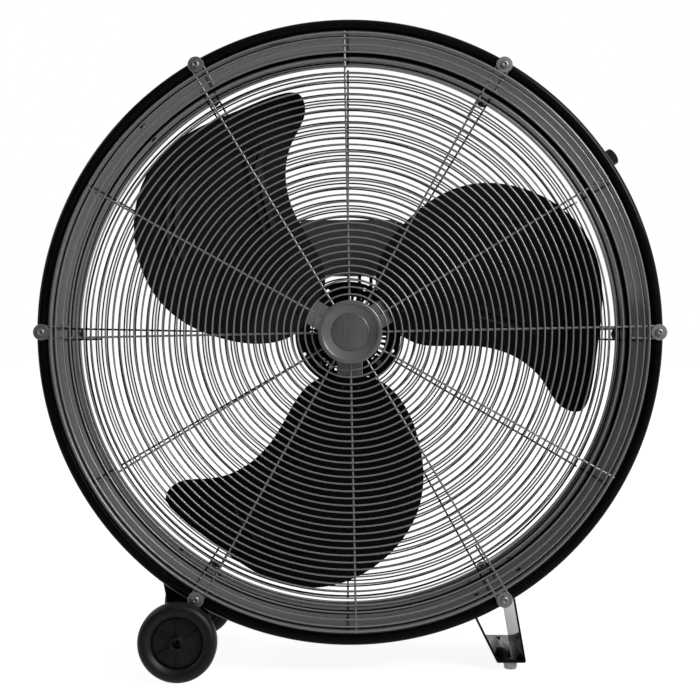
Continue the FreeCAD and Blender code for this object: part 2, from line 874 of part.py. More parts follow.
def terminal_box():
    """Folded cover, open towards the rear, with an ear at each top corner."""
    half = box_width / 2
    top = box_bottom + box_height
    cover = block(V(-half, box_front_y, box_bottom), V(half, box_back_y - box_wall, top))
    cover = cover.cut(block(V(-half + box_wall, box_front_y + box_wall, box_bottom + box_wall),
                            V(half - box_wall, box_back_y, top - box_wall)))
    ears = []
    for side in SIDES:
        near = side * half
        far = side * (half + box_ear_width)
        ears.append(block(V(min(near, far), box_back_y - box_wall * 2, top - box_ear_height),
                          V(max(near, far), box_back_y - box_wall, top)))
    leads = []
    for x in lead_places():
        leads.append(rod(V(x, lead_y(), box_bottom - overrun), V(x, lead_y(), box_bottom + overrun),
                         lead_radius))
    return cover.fuse(ears).cut(leads).removeSplitter()


def terminal_box_back():
    """Back plate that lies on the rear spokes."""
    half = box_width / 2 + box_ear_width
    back = block(V(-half, box_back_y - box_wall, box_bottom), V(half, box_back_y, box_bottom + box_height))
    holes = [rod(spot - Y_AXIS * overrun, spot + Y_AXIS * overrun, box_screw_radius)
             for spot in box_screw_places()]
    return back.cut(holes)


def terminal_box_screws():
    """Screws with a wide head that hold the back plate against the rear grille."""
    screws = []
    length = ring_back_y - box_back_y + box_wall + box_screw_head_height
    for spot in box_screw_places():
        seat = V(spot.x, ring_back_y, spot.z)
        screws.append(headed_screw(seat, -Y_AXIS, length, box_screw_radius,
                                   box_screw_head_radius, box_screw_head_height))
    return Part.makeCompound(screws)


def run_capacitor():
    """Round capacitor that lies on the floor of the terminal box."""
    y = (box_front_y + box_back_y) / 2
    z = box_bottom + box_wall + capacitor_radius
    start = V(-capacitor_shift - capacitor_length / 2, y, z)
    return rod(start, start + X_AXIS * capacitor_length, capacitor_radius)


def lead_places():
    return [lead_offset + side * lead_spacing / 2 for side in SIDES]


def lead_y():
    return stack_back_y + lead_setback


def motor_leads():
    """Two insulated leads from the terminal box down to the motor."""
    can = rod(on_axis(stack_front_y), on_axis(motor_back_y), motor_radius)
    leads = [rod(V(x, lead_y(), axis_height), V(x, lead_y(), box_bottom + box_wall), lead_radius).cut(can)
             for x in lead_places()]
    return Part.makeCompound(leads)


# Speed switch, modelled on the +X side of the drum and then swung to its angle

def switch_low(inset, radius):
    return V(radius, switch_y - switch_box_depth / 2 + inset, axis_height - switch_box_width / 2 + inset)


def switch_high(inset, radius):
    return V(radius, switch_y + switch_box_depth / 2 - inset, axis_height + switch_box_width / 2 - inset)


def switch_box():
    """Open box whose walls stand on the drum."""
    inner = drum_inner_radius - switch_box_height
    box = block(switch_low(0, inner), switch_high(0, switch_top))
    box = box.cut([drum_core(), block(switch_low(switch_box_wall, inner),
                                      switch_high(switch_box_wall, switch_top))])
    post = cover_screw_inset / 2 + cover_screw_radius
    corners = [rod(V(drum_inner_radius, y, z), V(switch_top, y, z), post)
               for y, z in cover_screw_places()]
    threads = [rod(V(switch_top - cover_screw_length, y, z), V(switch_top, y, z), cover_screw_radius)
               for y, z in cover_screw_places()]
    gland = gland_axis()
    entry = rod(gland - Y_AXIS * overrun, gland + Y_AXIS * overrun, gland_bore)
    limits = block(switch_low(0, inner), switch_high(0, switch_top))
    box = box.fuse(corners).common(limits).cut([drum_core(), entry] + threads).removeSplitter()
    return swing(box, switch_angle)


def cover_screw_places():
    """Places of the cover screws, one near each corner of the box."""
    y_half = switch_box_depth / 2 - cover_screw_inset
    z_half = switch_box_width / 2 - cover_screw_inset
    return [(switch_y + a * y_half, axis_height + b * z_half) for a in SIDES for b in SIDES]


def switch_cover():
    lid = block(switch_low(0, switch_top), switch_high(0, cover_top))
    centre = V(switch_top, switch_y, axis_height)
    reach = X_AXIS * overrun
    holes = [rod(centre - reach, centre + reach, spindle_radius + spindle_hole_clearance)]
    holes += [rod(V(switch_top - overrun, y, z), V(cover_top + overrun, y, z), cover_screw_radius)
              for y, z in cover_screw_places()]
    return swing(lid.cut(holes), switch_angle)


def switch_cover_screws():
    screws = [headed_screw(V(cover_top, y, z), -X_AXIS, switch_cover_sheet + cover_screw_length,
                           cover_screw_radius, cover_screw_head_radius, cover_screw_head_height)
              for y, z in cover_screw_places()]
    return Part.makeCompound([swing(screw, switch_angle) for screw in screws])


def rotary_switch():
    """Switch body that hangs from the cover."""
    low = V(switch_top - switch_body_height, switch_y, axis_height)
    high = V(switch_top, switch_y, axis_height)
    return swing(tube(low, high, switch_body_radius, spindle_radius + running_clearance), switch_angle)


def switch_spindle():
    low = V(switch_top - switch_body_height, switch_y, axis_height)
    high = V(knob_base + knob_height - knob_cap_wall, switch_y, axis_height)
    return swing(rod(low, high, spindle_radius), switch_angle)


def speed_knob():
    """Tapered knob with two flats that make its grip, and a pointer line in its top."""
    base = V(knob_base, switch_y, axis_height)
    top = base + X_AXIS * knob_height
    knob = Part.makeCone(knob_radius, knob_top_radius, knob_height, base, X_AXIS)
    skirt = (knob_height - knob_grip) / 2
    for side in SIDES:
        edge = switch_y + side * knob_grip
        away = switch_y + side * knob_radius * 2
        knob = knob.cut(block(V(knob_base + skirt, min(edge, away), axis_height - knob_radius * 2),
                              V(knob_base + knob_height, max(edge, away), axis_height + knob_radius * 2)))
    half = knob_pointer_width / 2
    pointer = block(V(top.x - knob_pointer_depth, switch_y - half, axis_height),
                    V(top.x, switch_y + half, axis_height + knob_radius))
    socket = rod(base, top - X_AXIS * knob_cap_wall, spindle_radius)
    return swing(knob.cut([pointer, socket]), switch_angle)


def gland_axis():
    """Point where the axis of the cable gland meets the rear wall of the switch box."""
    return V(drum_outer_radius + switch_box_height / 2, switch_y + switch_box_depth / 2, axis_height)


def cable_gland():
    """Empty cable gland in the rear wall of the switch box."""
    wall = gland_axis()
    collar = wall + Y_AXIS * gland_flange
    end = wall + Y_AXIS * gland_length
    body = rod(wall, collar, gland_radius).fuse(
        Part.makeCone(gland_radius, gland_nut_radius, gland_length - gland_flange, collar, Y_AXIS))
    return swing(body.cut(rod(wall, end, gland_bore)), switch_angle)


# Carrying handle, modelled on the +X side of the drum and then swung to its angle

def carry_handle():
    """Bent strap with a foot at each end and a straight grip."""
    foot_end = handle_span / 2 + handle_foot / 2
    foot_start = handle_span / 2 - handle_foot / 2
    grip = foot_start - handle_slope
    low = drum_inner_radius
    seat = drum_outer_radius + handle_sheet
    under = drum_outer_radius + handle_gap
    over = under + handle_sheet
    half_outline = [(low, foot_end), (seat, foot_end), (seat, foot_start + handle_sheet),
                    (over, grip + handle_sheet)]
    inner_half = [(under, grip), (low, foot_start)]
    outline = half_outline + [(r, -y) for r, y in half_outline[::-1]]
    outline += [(r, -y) for r, y in inner_half[::-1]] + inner_half
    points = [V(r, y, axis_height - handle_width / 2) for r, y in outline]
    strap = Part.Face(Part.makePolygon(points + points[:1])).extrude(Z_AXIS * handle_width)
    holes = [rod(V(low, y, axis_height), V(over, y, axis_height), handle_screw_radius)
             for y in handle_screw_places()]
    return swing(strap.cut([drum_core()] + holes), handle_angle)


def handle_screws():
    """Screws put through from inside the drum."""
    seat = seat_radius(handle_screw_head_radius)
    length = drum_outer_radius + handle_sheet + handle_nut_height - seat
    screws = [headed_screw(V(seat, y, axis_height), X_AXIS, length, handle_screw_radius,
                           handle_screw_head_radius, handle_screw_head_height)
              for y in handle_screw_places()]
    return Part.makeCompound([swing(screw, handle_angle) for screw in screws])


def handle_nuts():
    nuts = [hex_nut(V(drum_outer_radius + handle_sheet, y, axis_height), X_AXIS,
                    handle_nut_across_flats, handle_nut_height, handle_screw_radius)
            for y in handle_screw_places()]
    return Part.makeCompound([swing(nut, handle_angle) for nut in nuts])


# Wheels

def wheel_tyre(side):
    """Rounded tyre with a bevel round its seat."""
    middle = wheel_places[side]
    half = wheel_width / 2
    seat = wheel_seat_width / 2
    tread = tyre_tread_width / 2
    shoulder = wheel_radius - tyre_shoulder
    bulge_share = math.sqrt(0.5)

    def at(radius, y):
        return V(axle_centre.x + radius, middle + y, axle_centre.z)

    def crown(sign):
        return at(shoulder + tyre_shoulder * bulge_share, sign * (tread + (half - tread) * bulge_share))

    edges = [
        Part.makeLine(at(wheel_seat_radius, seat), at(wheel_seat_radius + tyre_bevel, half)),
        Part.makeLine(at(wheel_seat_radius + tyre_bevel, half), at(shoulder, half)),
        Part.Arc(at(shoulder, half), crown(1), at(wheel_radius, tread)).toShape(),
        Part.makeLine(at(wheel_radius, tread), at(wheel_radius, -tread)),
        Part.Arc(at(wheel_radius, -tread), crown(-1), at(shoulder, -half)).toShape(),
        Part.makeLine(at(shoulder, -half), at(wheel_seat_radius + tyre_bevel, -half)),
        Part.makeLine(at(wheel_seat_radius + tyre_bevel, -half), at(wheel_seat_radius, -seat)),
        Part.makeLine(at(wheel_seat_radius, -seat), at(wheel_seat_radius, seat)),
    ]
    return Part.Face(Part.Wire(edges)).revolve(axle_centre, Y_AXIS, FULL_TURN)


def wheel_disc(side):
    """Web with a boss on the axle, recessed on its outer side, and thin ribs on both faces."""
    middle = axle_centre + Y_AXIS * wheel_places[side]
    web = Y_AXIS * (wheel_web / 2)
    half = Y_AXIS * (wheel_width / 2)
    rim = Y_AXIS * (wheel_seat_width / 2)
    disc = rod(middle - web, middle + web, wheel_seat_radius)
    boss = rod(middle - half, middle + half, wheel_boss_radius)
    lip = tube(middle - rim, middle + rim, wheel_seat_radius, wheel_seat_radius - wheel_rib_height)
    deep = wheel_web / 2 + wheel_rib_height
    rib = block(middle + V(0, -deep, -wheel_rib_width / 2),
                middle + V(wheel_seat_radius - wheel_rib_height / 2, deep, wheel_rib_width / 2))
    ribs = []
    for i in range(wheel_rib_count):
        spoke = rib.copy()
        spoke.rotate(axle_centre, -Y_AXIS, FULL_TURN / wheel_rib_count * (i + 1 / 2))
        ribs.append(spoke)
    bore = rod(middle - half, middle + half, axle_radius + running_clearance)
    face = middle + half * side
    recess = rod(face, face - Y_AXIS * (side * hub_recess_depth), hub_recess_radius)
    return disc.fuse([boss, lip] + ribs).cut([bore, recess]).removeSplitter()


def axle():
    """Bar through both wheels and brackets, bored at its ends."""
    bar = rod(axle_centre + Y_AXIS * axle_tips[FRONT], axle_centre + Y_AXIS * axle_tips[REAR], axle_radius)
    bores = []
    for side in SIDES:
        tip = axle_centre + Y_AXIS * axle_tips[side]
        bores.append(rod(tip, tip - Y_AXIS * (side * axle_bore_depth), axle_bore))
    return bar.cut(bores)


def axle_pieces(spans, radius):
    """Sleeves on the axle, each between two places along Y."""
    return Part.makeCompound([tube(axle_centre + Y_AXIS * start, axle_centre + Y_AXIS * end, radius, axle_radius)
                              for start, end in spans])


def axle_spacers():
    reach = wheel_width / 2 + wheel_side_play
    return axle_pieces([(side * (bracket_y + bracket_sheet), wheel_places[side] - side * reach)
                        for side in SIDES], spacer_radius)


def axle_clips():
    """Rings on the axle, at the bottom of the recess in each wheel."""
    return axle_pieces([(clip_places[side], clip_places[side] + side * axle_clip_sheet) for side in SIDES],
                       axle_clip_radius)


def wheel_bracket(side):
    """Upright plate from the drum to the axle, with a flange riveted to the drum."""
    inner = bracket_y
    outer = bracket_y + bracket_sheet
    sunk = drum_outer_radius - bracket_sink
    boss_side = X_AXIS * bracket_boss_radius
    corners = [place(sunk, bracket_start_angle, 0), place(drum_outer_radius, bracket_start_angle, 0),
               axle_centre - boss_side, axle_centre + boss_side,
               place(drum_outer_radius, bracket_end_angle, 0), place(sunk, bracket_end_angle, 0)]
    low, high = sorted((side * inner, side * outer))
    web = plate([(corner.x, corner.z) for corner in corners], low, high)
    boss = rod(axle_centre + Y_AXIS * low, axle_centre + Y_AXIS * high, bracket_boss_radius)
    web = web.fuse(boss).cut(drum_core())
    flange_low, flange_high = sorted((side * (outer - bracket_flange), side * outer))
    flange = drum_strap(bracket_start_angle, bracket_end_angle, flange_low, flange_high, bracket_sheet)
    hole = rod(axle_centre + Y_AXIS * (low - overrun), axle_centre + Y_AXIS * (high + overrun), axle_radius)
    rivets = [drum_rivet_hole(angle, y) for angle, y in bracket_rivet_places()]
    return web.fuse(flange).cut([hole] + rivets).removeSplitter()


def bracket_rivets():
    return Part.makeCompound([drum_rivet(angle, y, bracket_sheet) for angle, y in bracket_rivet_places()])


# Leg and feet

def offset_line(start, end, distance):
    """The two points moved square to the line between them, to its right."""
    run = math.hypot(end[0] - start[0], end[1] - start[1])
    across = ((end[1] - start[1]) / run * distance, -(end[0] - start[0]) / run * distance)
    return [(x + across[0], z + across[1]) for x, z in (start, end)]


def crossing(first, second):
    """Point where two lines, each through two points, cross."""
    (ax, az), (bx, bz) = first
    (cx, cz), (dx, dz) = second
    cross = (bx - ax) * (dz - cz) - (bz - az) * (dx - cx)
    share = ((cx - ax) * (dz - cz) - (cz - az) * (dx - cx)) / cross
    return (ax + (bx - ax) * share, az + (bz - az) * share)


def leg():
    """Folded strip of sheet: two walls, a floor plate and a flange on the drum at each top."""
    left_top = place(drum_inner_radius, leg_left_angle, 0)
    right_top = place(drum_inner_radius, leg_right_angle, 0)
    outside = [(left_top.x, left_top.z), (leg_floor_x, foot_height),
               (leg_floor_x + leg_floor_width, foot_height), (right_top.x, right_top.z)]
    walls = [offset_line(a, b, -leg_sheet) for a, b in zip(outside, outside[1:])]
    inside = [walls[0][0], crossing(walls[0], walls[1]), crossing(walls[1], walls[2]), walls[2][1]]
    strip = plate(outside + inside[::-1], -leg_half_width, leg_half_width)
    folds = [edge for edge in strip.Edges
             if edge.BoundBox.YLength > leg_half_width and edge.BoundBox.ZMax < foot_height + leg_sheet / 2]
    strip = strip.makeFillet(leg_bend, folds)
    strip = strip.cut(drum_core())
    lap = math.degrees(leg_sheet * 2 / drum_outer_radius)
    flanges = [drum_strap(leg_left_angle, leg_left_angle + leg_flange_angle,
                          -leg_half_width, leg_half_width, leg_sheet),
               drum_strap(leg_right_angle - lap, leg_right_angle + leg_flange_angle,
                          -leg_half_width, leg_half_width, leg_sheet)]
    cutters = [drum_rivet_hole(angle, y) for angle, y in leg_rivet_places()]
    for spot in foot_places():
        cutters.append(rod(spot, spot + Z_AXIS * (leg_floor_top + overrun), foot_screw_radius))
    return strip.fuse(flanges).cut(cutters).removeSplitter()


def foot_places():
    x = leg_floor_x + leg_floor_width / 2
    return [V(x, side * (leg_half_width - foot_inset), 0) for side in SIDES]


def leg_rivets():
    return Part.makeCompound([drum_rivet(angle, y, leg_sheet) for angle, y in leg_rivet_places()])


def feet():
    """Tapered feet under the floor plate of the leg."""
    pads = []
    depth = foot_screw_length - leg_sheet
    for spot in foot_places():
        pad = Part.makeCone(foot_bottom_radius, foot_top_radius, foot_height, spot)
        top = spot + Z_AXIS * foot_height
        pads.append(pad.cut(rod(top - Z_AXIS * depth, top, foot_screw_radius)))
    return Part.makeCompound(pads)


def foot_screws():
    return Part.makeCompound([
        headed_screw(spot + Z_AXIS * leg_floor_top, -Z_AXIS, foot_screw_length, foot_screw_radius,
                     foot_screw_head_radius, foot_screw_head_height) for spot in foot_places()])


def build():
    """All pieces by name, in their places."""
    pieces = {
        "drum_shell": drum_shell(),
        "front_grille_rings": grille_rings(FRONT, front_first_ring, front_ring_pitch),
        "front_grille_spokes": grille_spokes(FRONT, front_spoke_start),
        "rear_grille_rings": grille_rings(REAR, rear_first_ring, rear_ring_pitch),
        "rear_grille_spokes": grille_spokes(REAR, rear_spoke_start),
        "grille_screws": grille_screws(),
        "grille_washers": grille_washers(),
        "hex_nuts": hex_nuts(),
        "badge_cap": badge_cap(),
        "badge_plate": badge_plate(),
        "cap_clamp": cap_clamp(),
        "cap_screw": cap_screw(),
        "fan_hub": fan_hub(),
        "hub_set_screw": hub_set_screw(),
        "blade_rivets": blade_rivets(),
        "motor_front_shield": motor_shield(motor_front_y, 1),
        "motor_rear_shield": motor_shield(motor_back_y, -1),
        "stator_stack": stator_stack(),
        "stator_windings": stator_windings(),
        "rotor": rotor(),
        "motor_shaft": motor_shaft(),
        "front_bearing": front_bearing(),
        "rear_bearing": rear_bearing(),
        "tie_bolts": tie_bolts(),
        "tie_bolt_nuts": tie_bolt_nuts(),
        "motor_mount_plate": motor_mount_plate(),
        "mount_clamp_strips": mount_clamp_strips(),
        "mount_bolts": mount_bolts(),
        "terminal_box": terminal_box(),
        "terminal_box_back": terminal_box_back(),
        "terminal_box_screws": terminal_box_screws(),
        "run_capacitor": run_capacitor(),
        "motor_leads": motor_leads(),
        "switch_box": switch_box(),
        "switch_cover": switch_cover(),
        "switch_cover_screws": switch_cover_screws(),
        "rotary_switch": rotary_switch(),
        "switch_spindle": switch_spindle(),
        "speed_knob": speed_knob(),
        "cable_gland": cable_gland(),
        "carry_handle": carry_handle(),
        "handle_screws": handle_screws(),
        "handle_nuts": handle_nuts(),
        "axle": axle(),
        "axle_spacers": axle_spacers(),
        "axle_clips": axle_clips(),
        "bracket_rivets": bracket_rivets(),
        "leg": leg(),
        "leg_rivets": leg_rivets(),
        "feet": feet(),
        "foot_screws": foot_screws(),
    }
    blade_shape = blade()
    for i in range(blade_count):
        pieces["blade_%d" % (i + 1)] = swing(blade_shape, blade_angle(i))
    for side, name in ((FRONT, "front"), (REAR, "rear")):
        pieces[name + "_wheel_disc"] = wheel_disc(side)
        pieces[name + "_wheel_tyre"] = wheel_tyre(side)
        pieces["wheel_bracket_" + name] = wheel_bracket(side)
    return pieces


os.makedirs("parts", exist_ok=True)
for node, shape in build().items():
    shape.exportStep("parts/%s.step" % node)
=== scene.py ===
import json
import math

import bpy
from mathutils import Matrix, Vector


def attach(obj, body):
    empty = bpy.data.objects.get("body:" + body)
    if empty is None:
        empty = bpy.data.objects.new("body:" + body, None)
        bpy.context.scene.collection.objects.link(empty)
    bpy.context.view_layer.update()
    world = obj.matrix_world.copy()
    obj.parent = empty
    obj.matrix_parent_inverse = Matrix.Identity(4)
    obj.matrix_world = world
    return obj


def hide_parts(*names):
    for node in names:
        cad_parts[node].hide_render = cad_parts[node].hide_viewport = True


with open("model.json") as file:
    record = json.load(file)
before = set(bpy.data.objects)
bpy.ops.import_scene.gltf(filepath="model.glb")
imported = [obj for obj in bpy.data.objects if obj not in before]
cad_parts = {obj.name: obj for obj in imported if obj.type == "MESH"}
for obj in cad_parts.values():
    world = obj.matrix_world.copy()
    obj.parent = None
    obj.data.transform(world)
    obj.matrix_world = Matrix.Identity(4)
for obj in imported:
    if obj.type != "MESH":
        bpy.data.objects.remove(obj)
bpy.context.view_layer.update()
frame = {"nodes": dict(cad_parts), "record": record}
nodes = frame["nodes"]

# Sizes of the fan in metres, with its counts and angles, after the part's source
MM = 0.001
FULL = 2 * math.pi
AXIS_Z = 484 * MM
HUB = Vector((0, 0, AXIS_Z))
ALONG_Y = (0, 1, 0)
DRUM_R = 423.5 * MM
SHEET = 1.2 * MM
BEAD_R = 8 * MM
BEAD_ROLL = math.radians(300)
RIM_Y = 114.5 * MM
BEAD_Y = RIM_Y - BEAD_R
SCREW_R = DRUM_R + BEAD_R
SCREWS = 6
SPOKE_WIRE = 3 * MM
RING_WIRE = 2.5 * MM
FRAME_RING_WIRE = 3.2 * MM
FRAME_RING_GAP = 5.3 * MM
FRAME_RING_R = DRUM_R - FRAME_RING_GAP
WELD_DEPTH = 0.3 * MM
SPOKE_Y = RIM_Y + SPOKE_WIRE / 2
WIRE_FACE_Y = SPOKE_Y + SPOKE_WIRE / 2
RING_Y = SPOKE_Y + (SPOKE_WIRE + RING_WIRE) / 2 - WELD_DEPTH
FRAME_RING_Y = SPOKE_Y + (SPOKE_WIRE + FRAME_RING_WIRE) / 2 - WELD_DEPTH
HAIRPIN_BEND = 8.6 * MM
HAIRPIN_RETURN = 38 * MM
HAIRPIN_LEAN = math.asin(HAIRPIN_BEND / SCREW_R)
PLAIN_SPOKE_OVERHANG = 3 * MM
BLADES = 3
BLADE_TIP = 384 * MM
BLADE_SHEET = 2 * MM
BLADE_CHORD = 0.8 * BLADE_TIP
FIRST_BLADE = math.radians(30)
FAN_Y = -35 * MM
WHEELS = {side: Vector((-239, side * 133.5, 55)) * MM for side in (-1, 1)}
WHEEL_RIBS = 6
FOOT_X = 232 * MM
FOOT_REACH = 63 * MM
SWITCH_ANGLE = math.radians(33.85)
KNOB_FOOT = HUB + Vector((452.7, -20, 0)) * MM


def around(radius, angle, y):
    """Point at a radius and angle round the drum's axis, seen from the front."""
    return Vector((radius * math.cos(angle), y, AXIS_Z + radius * math.sin(angle)))


# Ways of working that several pieces share

# Distance at which doubles merge, least angle of an edge that is eased, and steps round a turned piece
MERGE = 0.001 * MM
SHARP_EDGE = math.radians(40)
TURN_STEPS = 96


def new_piece(name):
    """An empty mesh at the origin, open in edit mode."""
    bpy.ops.object.select_all(action="DESELECT")
    bpy.ops.mesh.primitive_plane_add(size=10 * MM)
    piece = bpy.context.object
    piece.name = name
    piece.data.name = name
    bpy.ops.object.mode_set(mode="EDIT")
    bpy.ops.mesh.select_mode(type="VERT")
    bpy.ops.mesh.delete(type="VERT")
    return piece


def pick_up(piece):
    """Leave edit mode, with this piece alone selected and active."""
    if bpy.context.object.mode == "EDIT":
        bpy.ops.object.mode_set(mode="OBJECT")
    bpy.ops.object.select_all(action="DESELECT")
    piece.select_set(True)
    bpy.context.view_layer.objects.active = piece


def draw_line(points):
    """A vertex set on the first point and extruded on from point to point."""
    bpy.ops.mesh.select_all(action="DESELECT")
    bpy.ops.mesh.primitive_plane_add(size=MM, location=points[0])
    bpy.ops.mesh.merge(type="CENTER")
    for here, there in zip(points, points[1:]):
        bpy.ops.mesh.extrude_region_move(TRANSFORM_OT_translate={"value": there - here})
    bpy.ops.mesh.select_all(action="SELECT")
    bpy.ops.mesh.remove_doubles(threshold=MERGE)


def sound_mesh():
    """Doubles merged and normals turned outwards."""
    bpy.ops.mesh.select_all(action="SELECT")
    bpy.ops.mesh.remove_doubles(threshold=MERGE)
    bpy.ops.mesh.normals_make_consistent(inside=False)


def close_piece(piece, body, slot, material, *stands_for, smooth=35):
    """Leave edit mode, smooth the faces, give the material, hang the piece on its body and hide the CAD parts
    it stands for.
    """
    pick_up(piece)
    bpy.ops.object.shade_smooth_by_angle(angle=math.radians(smooth))
    piece.data.materials.clear()
    piece.data.materials.append(material)
    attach(piece, body)
    if stands_for:
        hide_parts(*stands_for)


def use_modifier(piece, kind, **settings):
    """Add one modifier with its settings and apply it."""
    pick_up(piece)
    modifier = piece.modifiers.new(kind.title(), kind)
    for name, value in settings.items():
        setattr(modifier, name, value)
    bpy.ops.object.modifier_apply(modifier=modifier.name)


def copies_round(count, centre=HUB):
    """Copies of what is selected, evenly round an axis along Y."""
    turn = FULL * (count - 1) / count
    bpy.ops.mesh.spin(steps=count - 1, dupli=True, angle=turn, center=centre, axis=ALONG_Y)


def rounding(centre, radius, start, end, steps=6):
    """Points on the arc of a rounded edge, as pairs in the plane of a profile."""
    turns = [math.radians(start + (end - start) * i / steps) for i in range(steps + 1)]
    return [(centre[0] + radius * math.cos(turn), centre[1] + radius * math.sin(turn)) for turn in turns]


def turned_piece(profile, steps, centre=HUB):
    """A profile of (radius, y) pairs drawn to the right of the axis and spun full circle round it."""
    draw_line([centre + Vector((radius, y, 0)) for radius, y in profile])
    bpy.ops.mesh.spin(steps=steps, angle=FULL, center=centre, axis=ALONG_Y)
    sound_mesh()


def over_wires(profile):
    """Pairs of radius and rise over the front face of the spokes, in millimetres, as (radius, y) pairs."""
    return [(radius * MM, -(WIRE_FACE_Y + rise * MM)) for radius, rise in profile]


# Materials

def shade(code):
    """An sRGB hex code as linear red, green, blue and alpha."""
    parts = [int(code[i:i + 2], 16) / 255 for i in (1, 3, 5)]
    return [c / 12.92 if c <= 0.04045 else ((c + 0.055) / 1.055) ** 2.4 for c in parts] + [1.0]


def add(tree, kind, settings=None, links=None):
    """One node with its settings, its constants and its links."""
    node = tree.nodes.new(kind)
    for name, value in (settings or {}).items():
        setattr(node, name, value)
    for socket, value in (links or {}).items():
        if isinstance(value, bpy.types.NodeSocket):
            tree.links.new(value, node.inputs[socket])
        else:
            node.inputs[socket].default_value = value
    return node


def surface(name, colours, grain_mm, rough, bump, stretch=(1, 1, 1), metallic=0.0, specular=0.5,
            cloud_mm=160):
    """A principled surface with a fine grain and a broad cloud, both of a real size.

    colours are the darkest and the lightest tone, rough the lowest and the highest roughness, and bump the
    height of the grain in millimetres. The grain gives the roughness and the height, and with the cloud
    the tone."""
    cloud_share = 0.45
    tone_span = (0.35, 0.65)
    gloss_span = (0.3, 0.7)
    material = bpy.data.materials.new(name)
    material.use_nodes = True
    tree = material.node_tree
    tree.nodes.clear()
    place = add(tree, "ShaderNodeTexCoord")
    turn = add(tree, "ShaderNodeMapping", None, {"Vector": place.outputs["Object"], "Scale": stretch})
    grain = add(tree, "ShaderNodeTexNoise", None,
                {"Vector": turn.outputs[0], "Scale": 1 / (grain_mm * MM), "Detail": 3.0, "Roughness": 0.55})
    cloud = add(tree, "ShaderNodeTexNoise", None,
                {"Vector": place.outputs["Object"], "Scale": 1 / (cloud_mm * MM), "Detail": 2.0})
    blend = add(tree, "ShaderNodeMix", None,
                {"Factor": cloud_share, "A": grain.outputs["Fac"], "B": cloud.outputs["Fac"]})
    tone = add(tree, "ShaderNodeValToRGB", None, {"Fac": blend.outputs["Result"]})
    for stop, position, colour in zip(tone.color_ramp.elements, tone_span, colours):
        stop.position = position
        stop.color = shade(colour)
    gloss = add(tree, "ShaderNodeMapRange", None, {
        "Value": grain.outputs["Fac"], "From Min": gloss_span[0], "From Max": gloss_span[1],
        "To Min": rough[0], "To Max": rough[1]})
    height = add(tree, "ShaderNodeBump", None,
                 {"Height": grain.outputs["Fac"], "Strength": 1.0, "Distance": bump * MM})
    shader = add(tree, "ShaderNodeBsdfPrincipled", None, {
        "Base Color": tone.outputs["Color"], "Roughness": gloss.outputs[0], "Normal": height.outputs[0],
        "Metallic": metallic, "Specular IOR Level": specular})
    add(tree, "ShaderNodeOutputMaterial", None, {"Surface": shader.outputs[0]})
    return material


# Stoved black enamel on rolled sheet: near black in front, a soft mirror at a low angle, with a faint
# orange peel
stoved_enamel = surface("stoved_black_enamel", ("#080808", "#0C0C0D"), 14, (0.09, 0.14), 0.0025,
                        specular=0.045)
# Powder coat on pressed blades: black, satin, slightly uneven from the spray
blade_coat = surface("satin_black_blade_coat", ("#0A0A0A", "#0F0F0F"), 9, (0.44, 0.54), 0.012,
                     specular=0.09)
# Grey powder coat on drawn wire: semi-gloss, with a fine pebble that breaks the highlight along it
wire_coat = surface("grey_powder_coat_wire", ("#5C5C5C", "#686868"), 3, (0.18, 0.26), 0.005, specular=0.9)
# Black powder coat on the rear wires: same pebble, near black
rear_wire_coat = surface("black_powder_coat_wire", ("#080808", "#0E0E0E"), 3, (0.38, 0.48), 0.01,
                         specular=0.15)
# Silver-grey lacquer on a pressed cap: a soft metallic flake with a fine upright brushing under it
cap_lacquer = surface("grey_flake_lacquer", ("#5B5B5B", "#6A6A6A"), 0.8, (0.20, 0.26), 0.002,
                      (1, 1, 0.03), metallic=0.4, cloud_mm=60)
# Straight-brushed aluminium: long upright scratches that drag the highlight sideways
badge_metal = surface("brushed_aluminium_disc", ("#474747", "#666666"), 0.7, (0.30, 0.42), 0.006,
                      (1, 1, 0.02), metallic=0.5, cloud_mm=40)
# Grey enamel on the pressed hub arms: satin and a little dusty
hub_enamel = surface("grey_hub_enamel", ("#686868", "#747474"), 8, (0.42, 0.55), 0.01, specular=0.3)
# Dark grey enamel on the terminal box: satin with a light spray texture
box_enamel = surface("dark_grey_box_enamel", ("#4B4B4C", "#565657"), 6, (0.46, 0.58), 0.012,
                     specular=0.14)
# Black enamel on the motor and its mount: satin, slightly dusty
motor_enamel = surface("black_motor_enamel", ("#0A0A0A", "#121212"), 6, (0.40, 0.52), 0.015,
                       specular=0.15)
# Edge of stacked laminations: fine lines across the stack, drawn coarser than their half millimetre
lamination = surface("lamination_stack_edge", ("#57575A", "#8A8A8C"), 1.6, (0.35, 0.5), 0.05,
                     (0.03, 1, 0.03), metallic=1.0)
# Varnished copper wire in round bundles: warm, with the lines of the turns
copper_winding = surface("varnished_copper_winding", ("#8A3F1C", "#C0703A"), 1.2, (0.25, 0.4), 0.15,
                         (0.05, 1, 0.05), metallic=1.0)
# Turned bare steel: bright, with fine tool rings
turned_steel = surface("turned_bare_steel", ("#8C8C8E", "#B4B4B6"), 1.0, (0.22, 0.36), 0.006,
                       (0.1, 1, 0.1), metallic=1.0)
# Blackened steel of the axle and of the screws in handle and feet: a dark oxide with a dull gleam
black_steel = surface("blackened_steel", ("#1E1E1F", "#2A2A2B"), 2.5, (0.28, 0.40), 0.008)
# Zinc plate on screws, nuts and bolts: dull silver with a blotchy bloom
zinc_plate = surface("zinc_plated_steel", ("#747476", "#8A8A8C"), 3.5, (0.46, 0.56), 0.003, metallic=1.0,
                     cloud_mm=20)
# Tumbled zinc on the flat washers: an even satin grey without a sharp gleam
tumbled_zinc = surface("tumbled_zinc_washer", ("#7A7A7C", "#848486"), 1.2, (0.36, 0.46), 0.002,
                       metallic=0.85, cloud_mm=15)
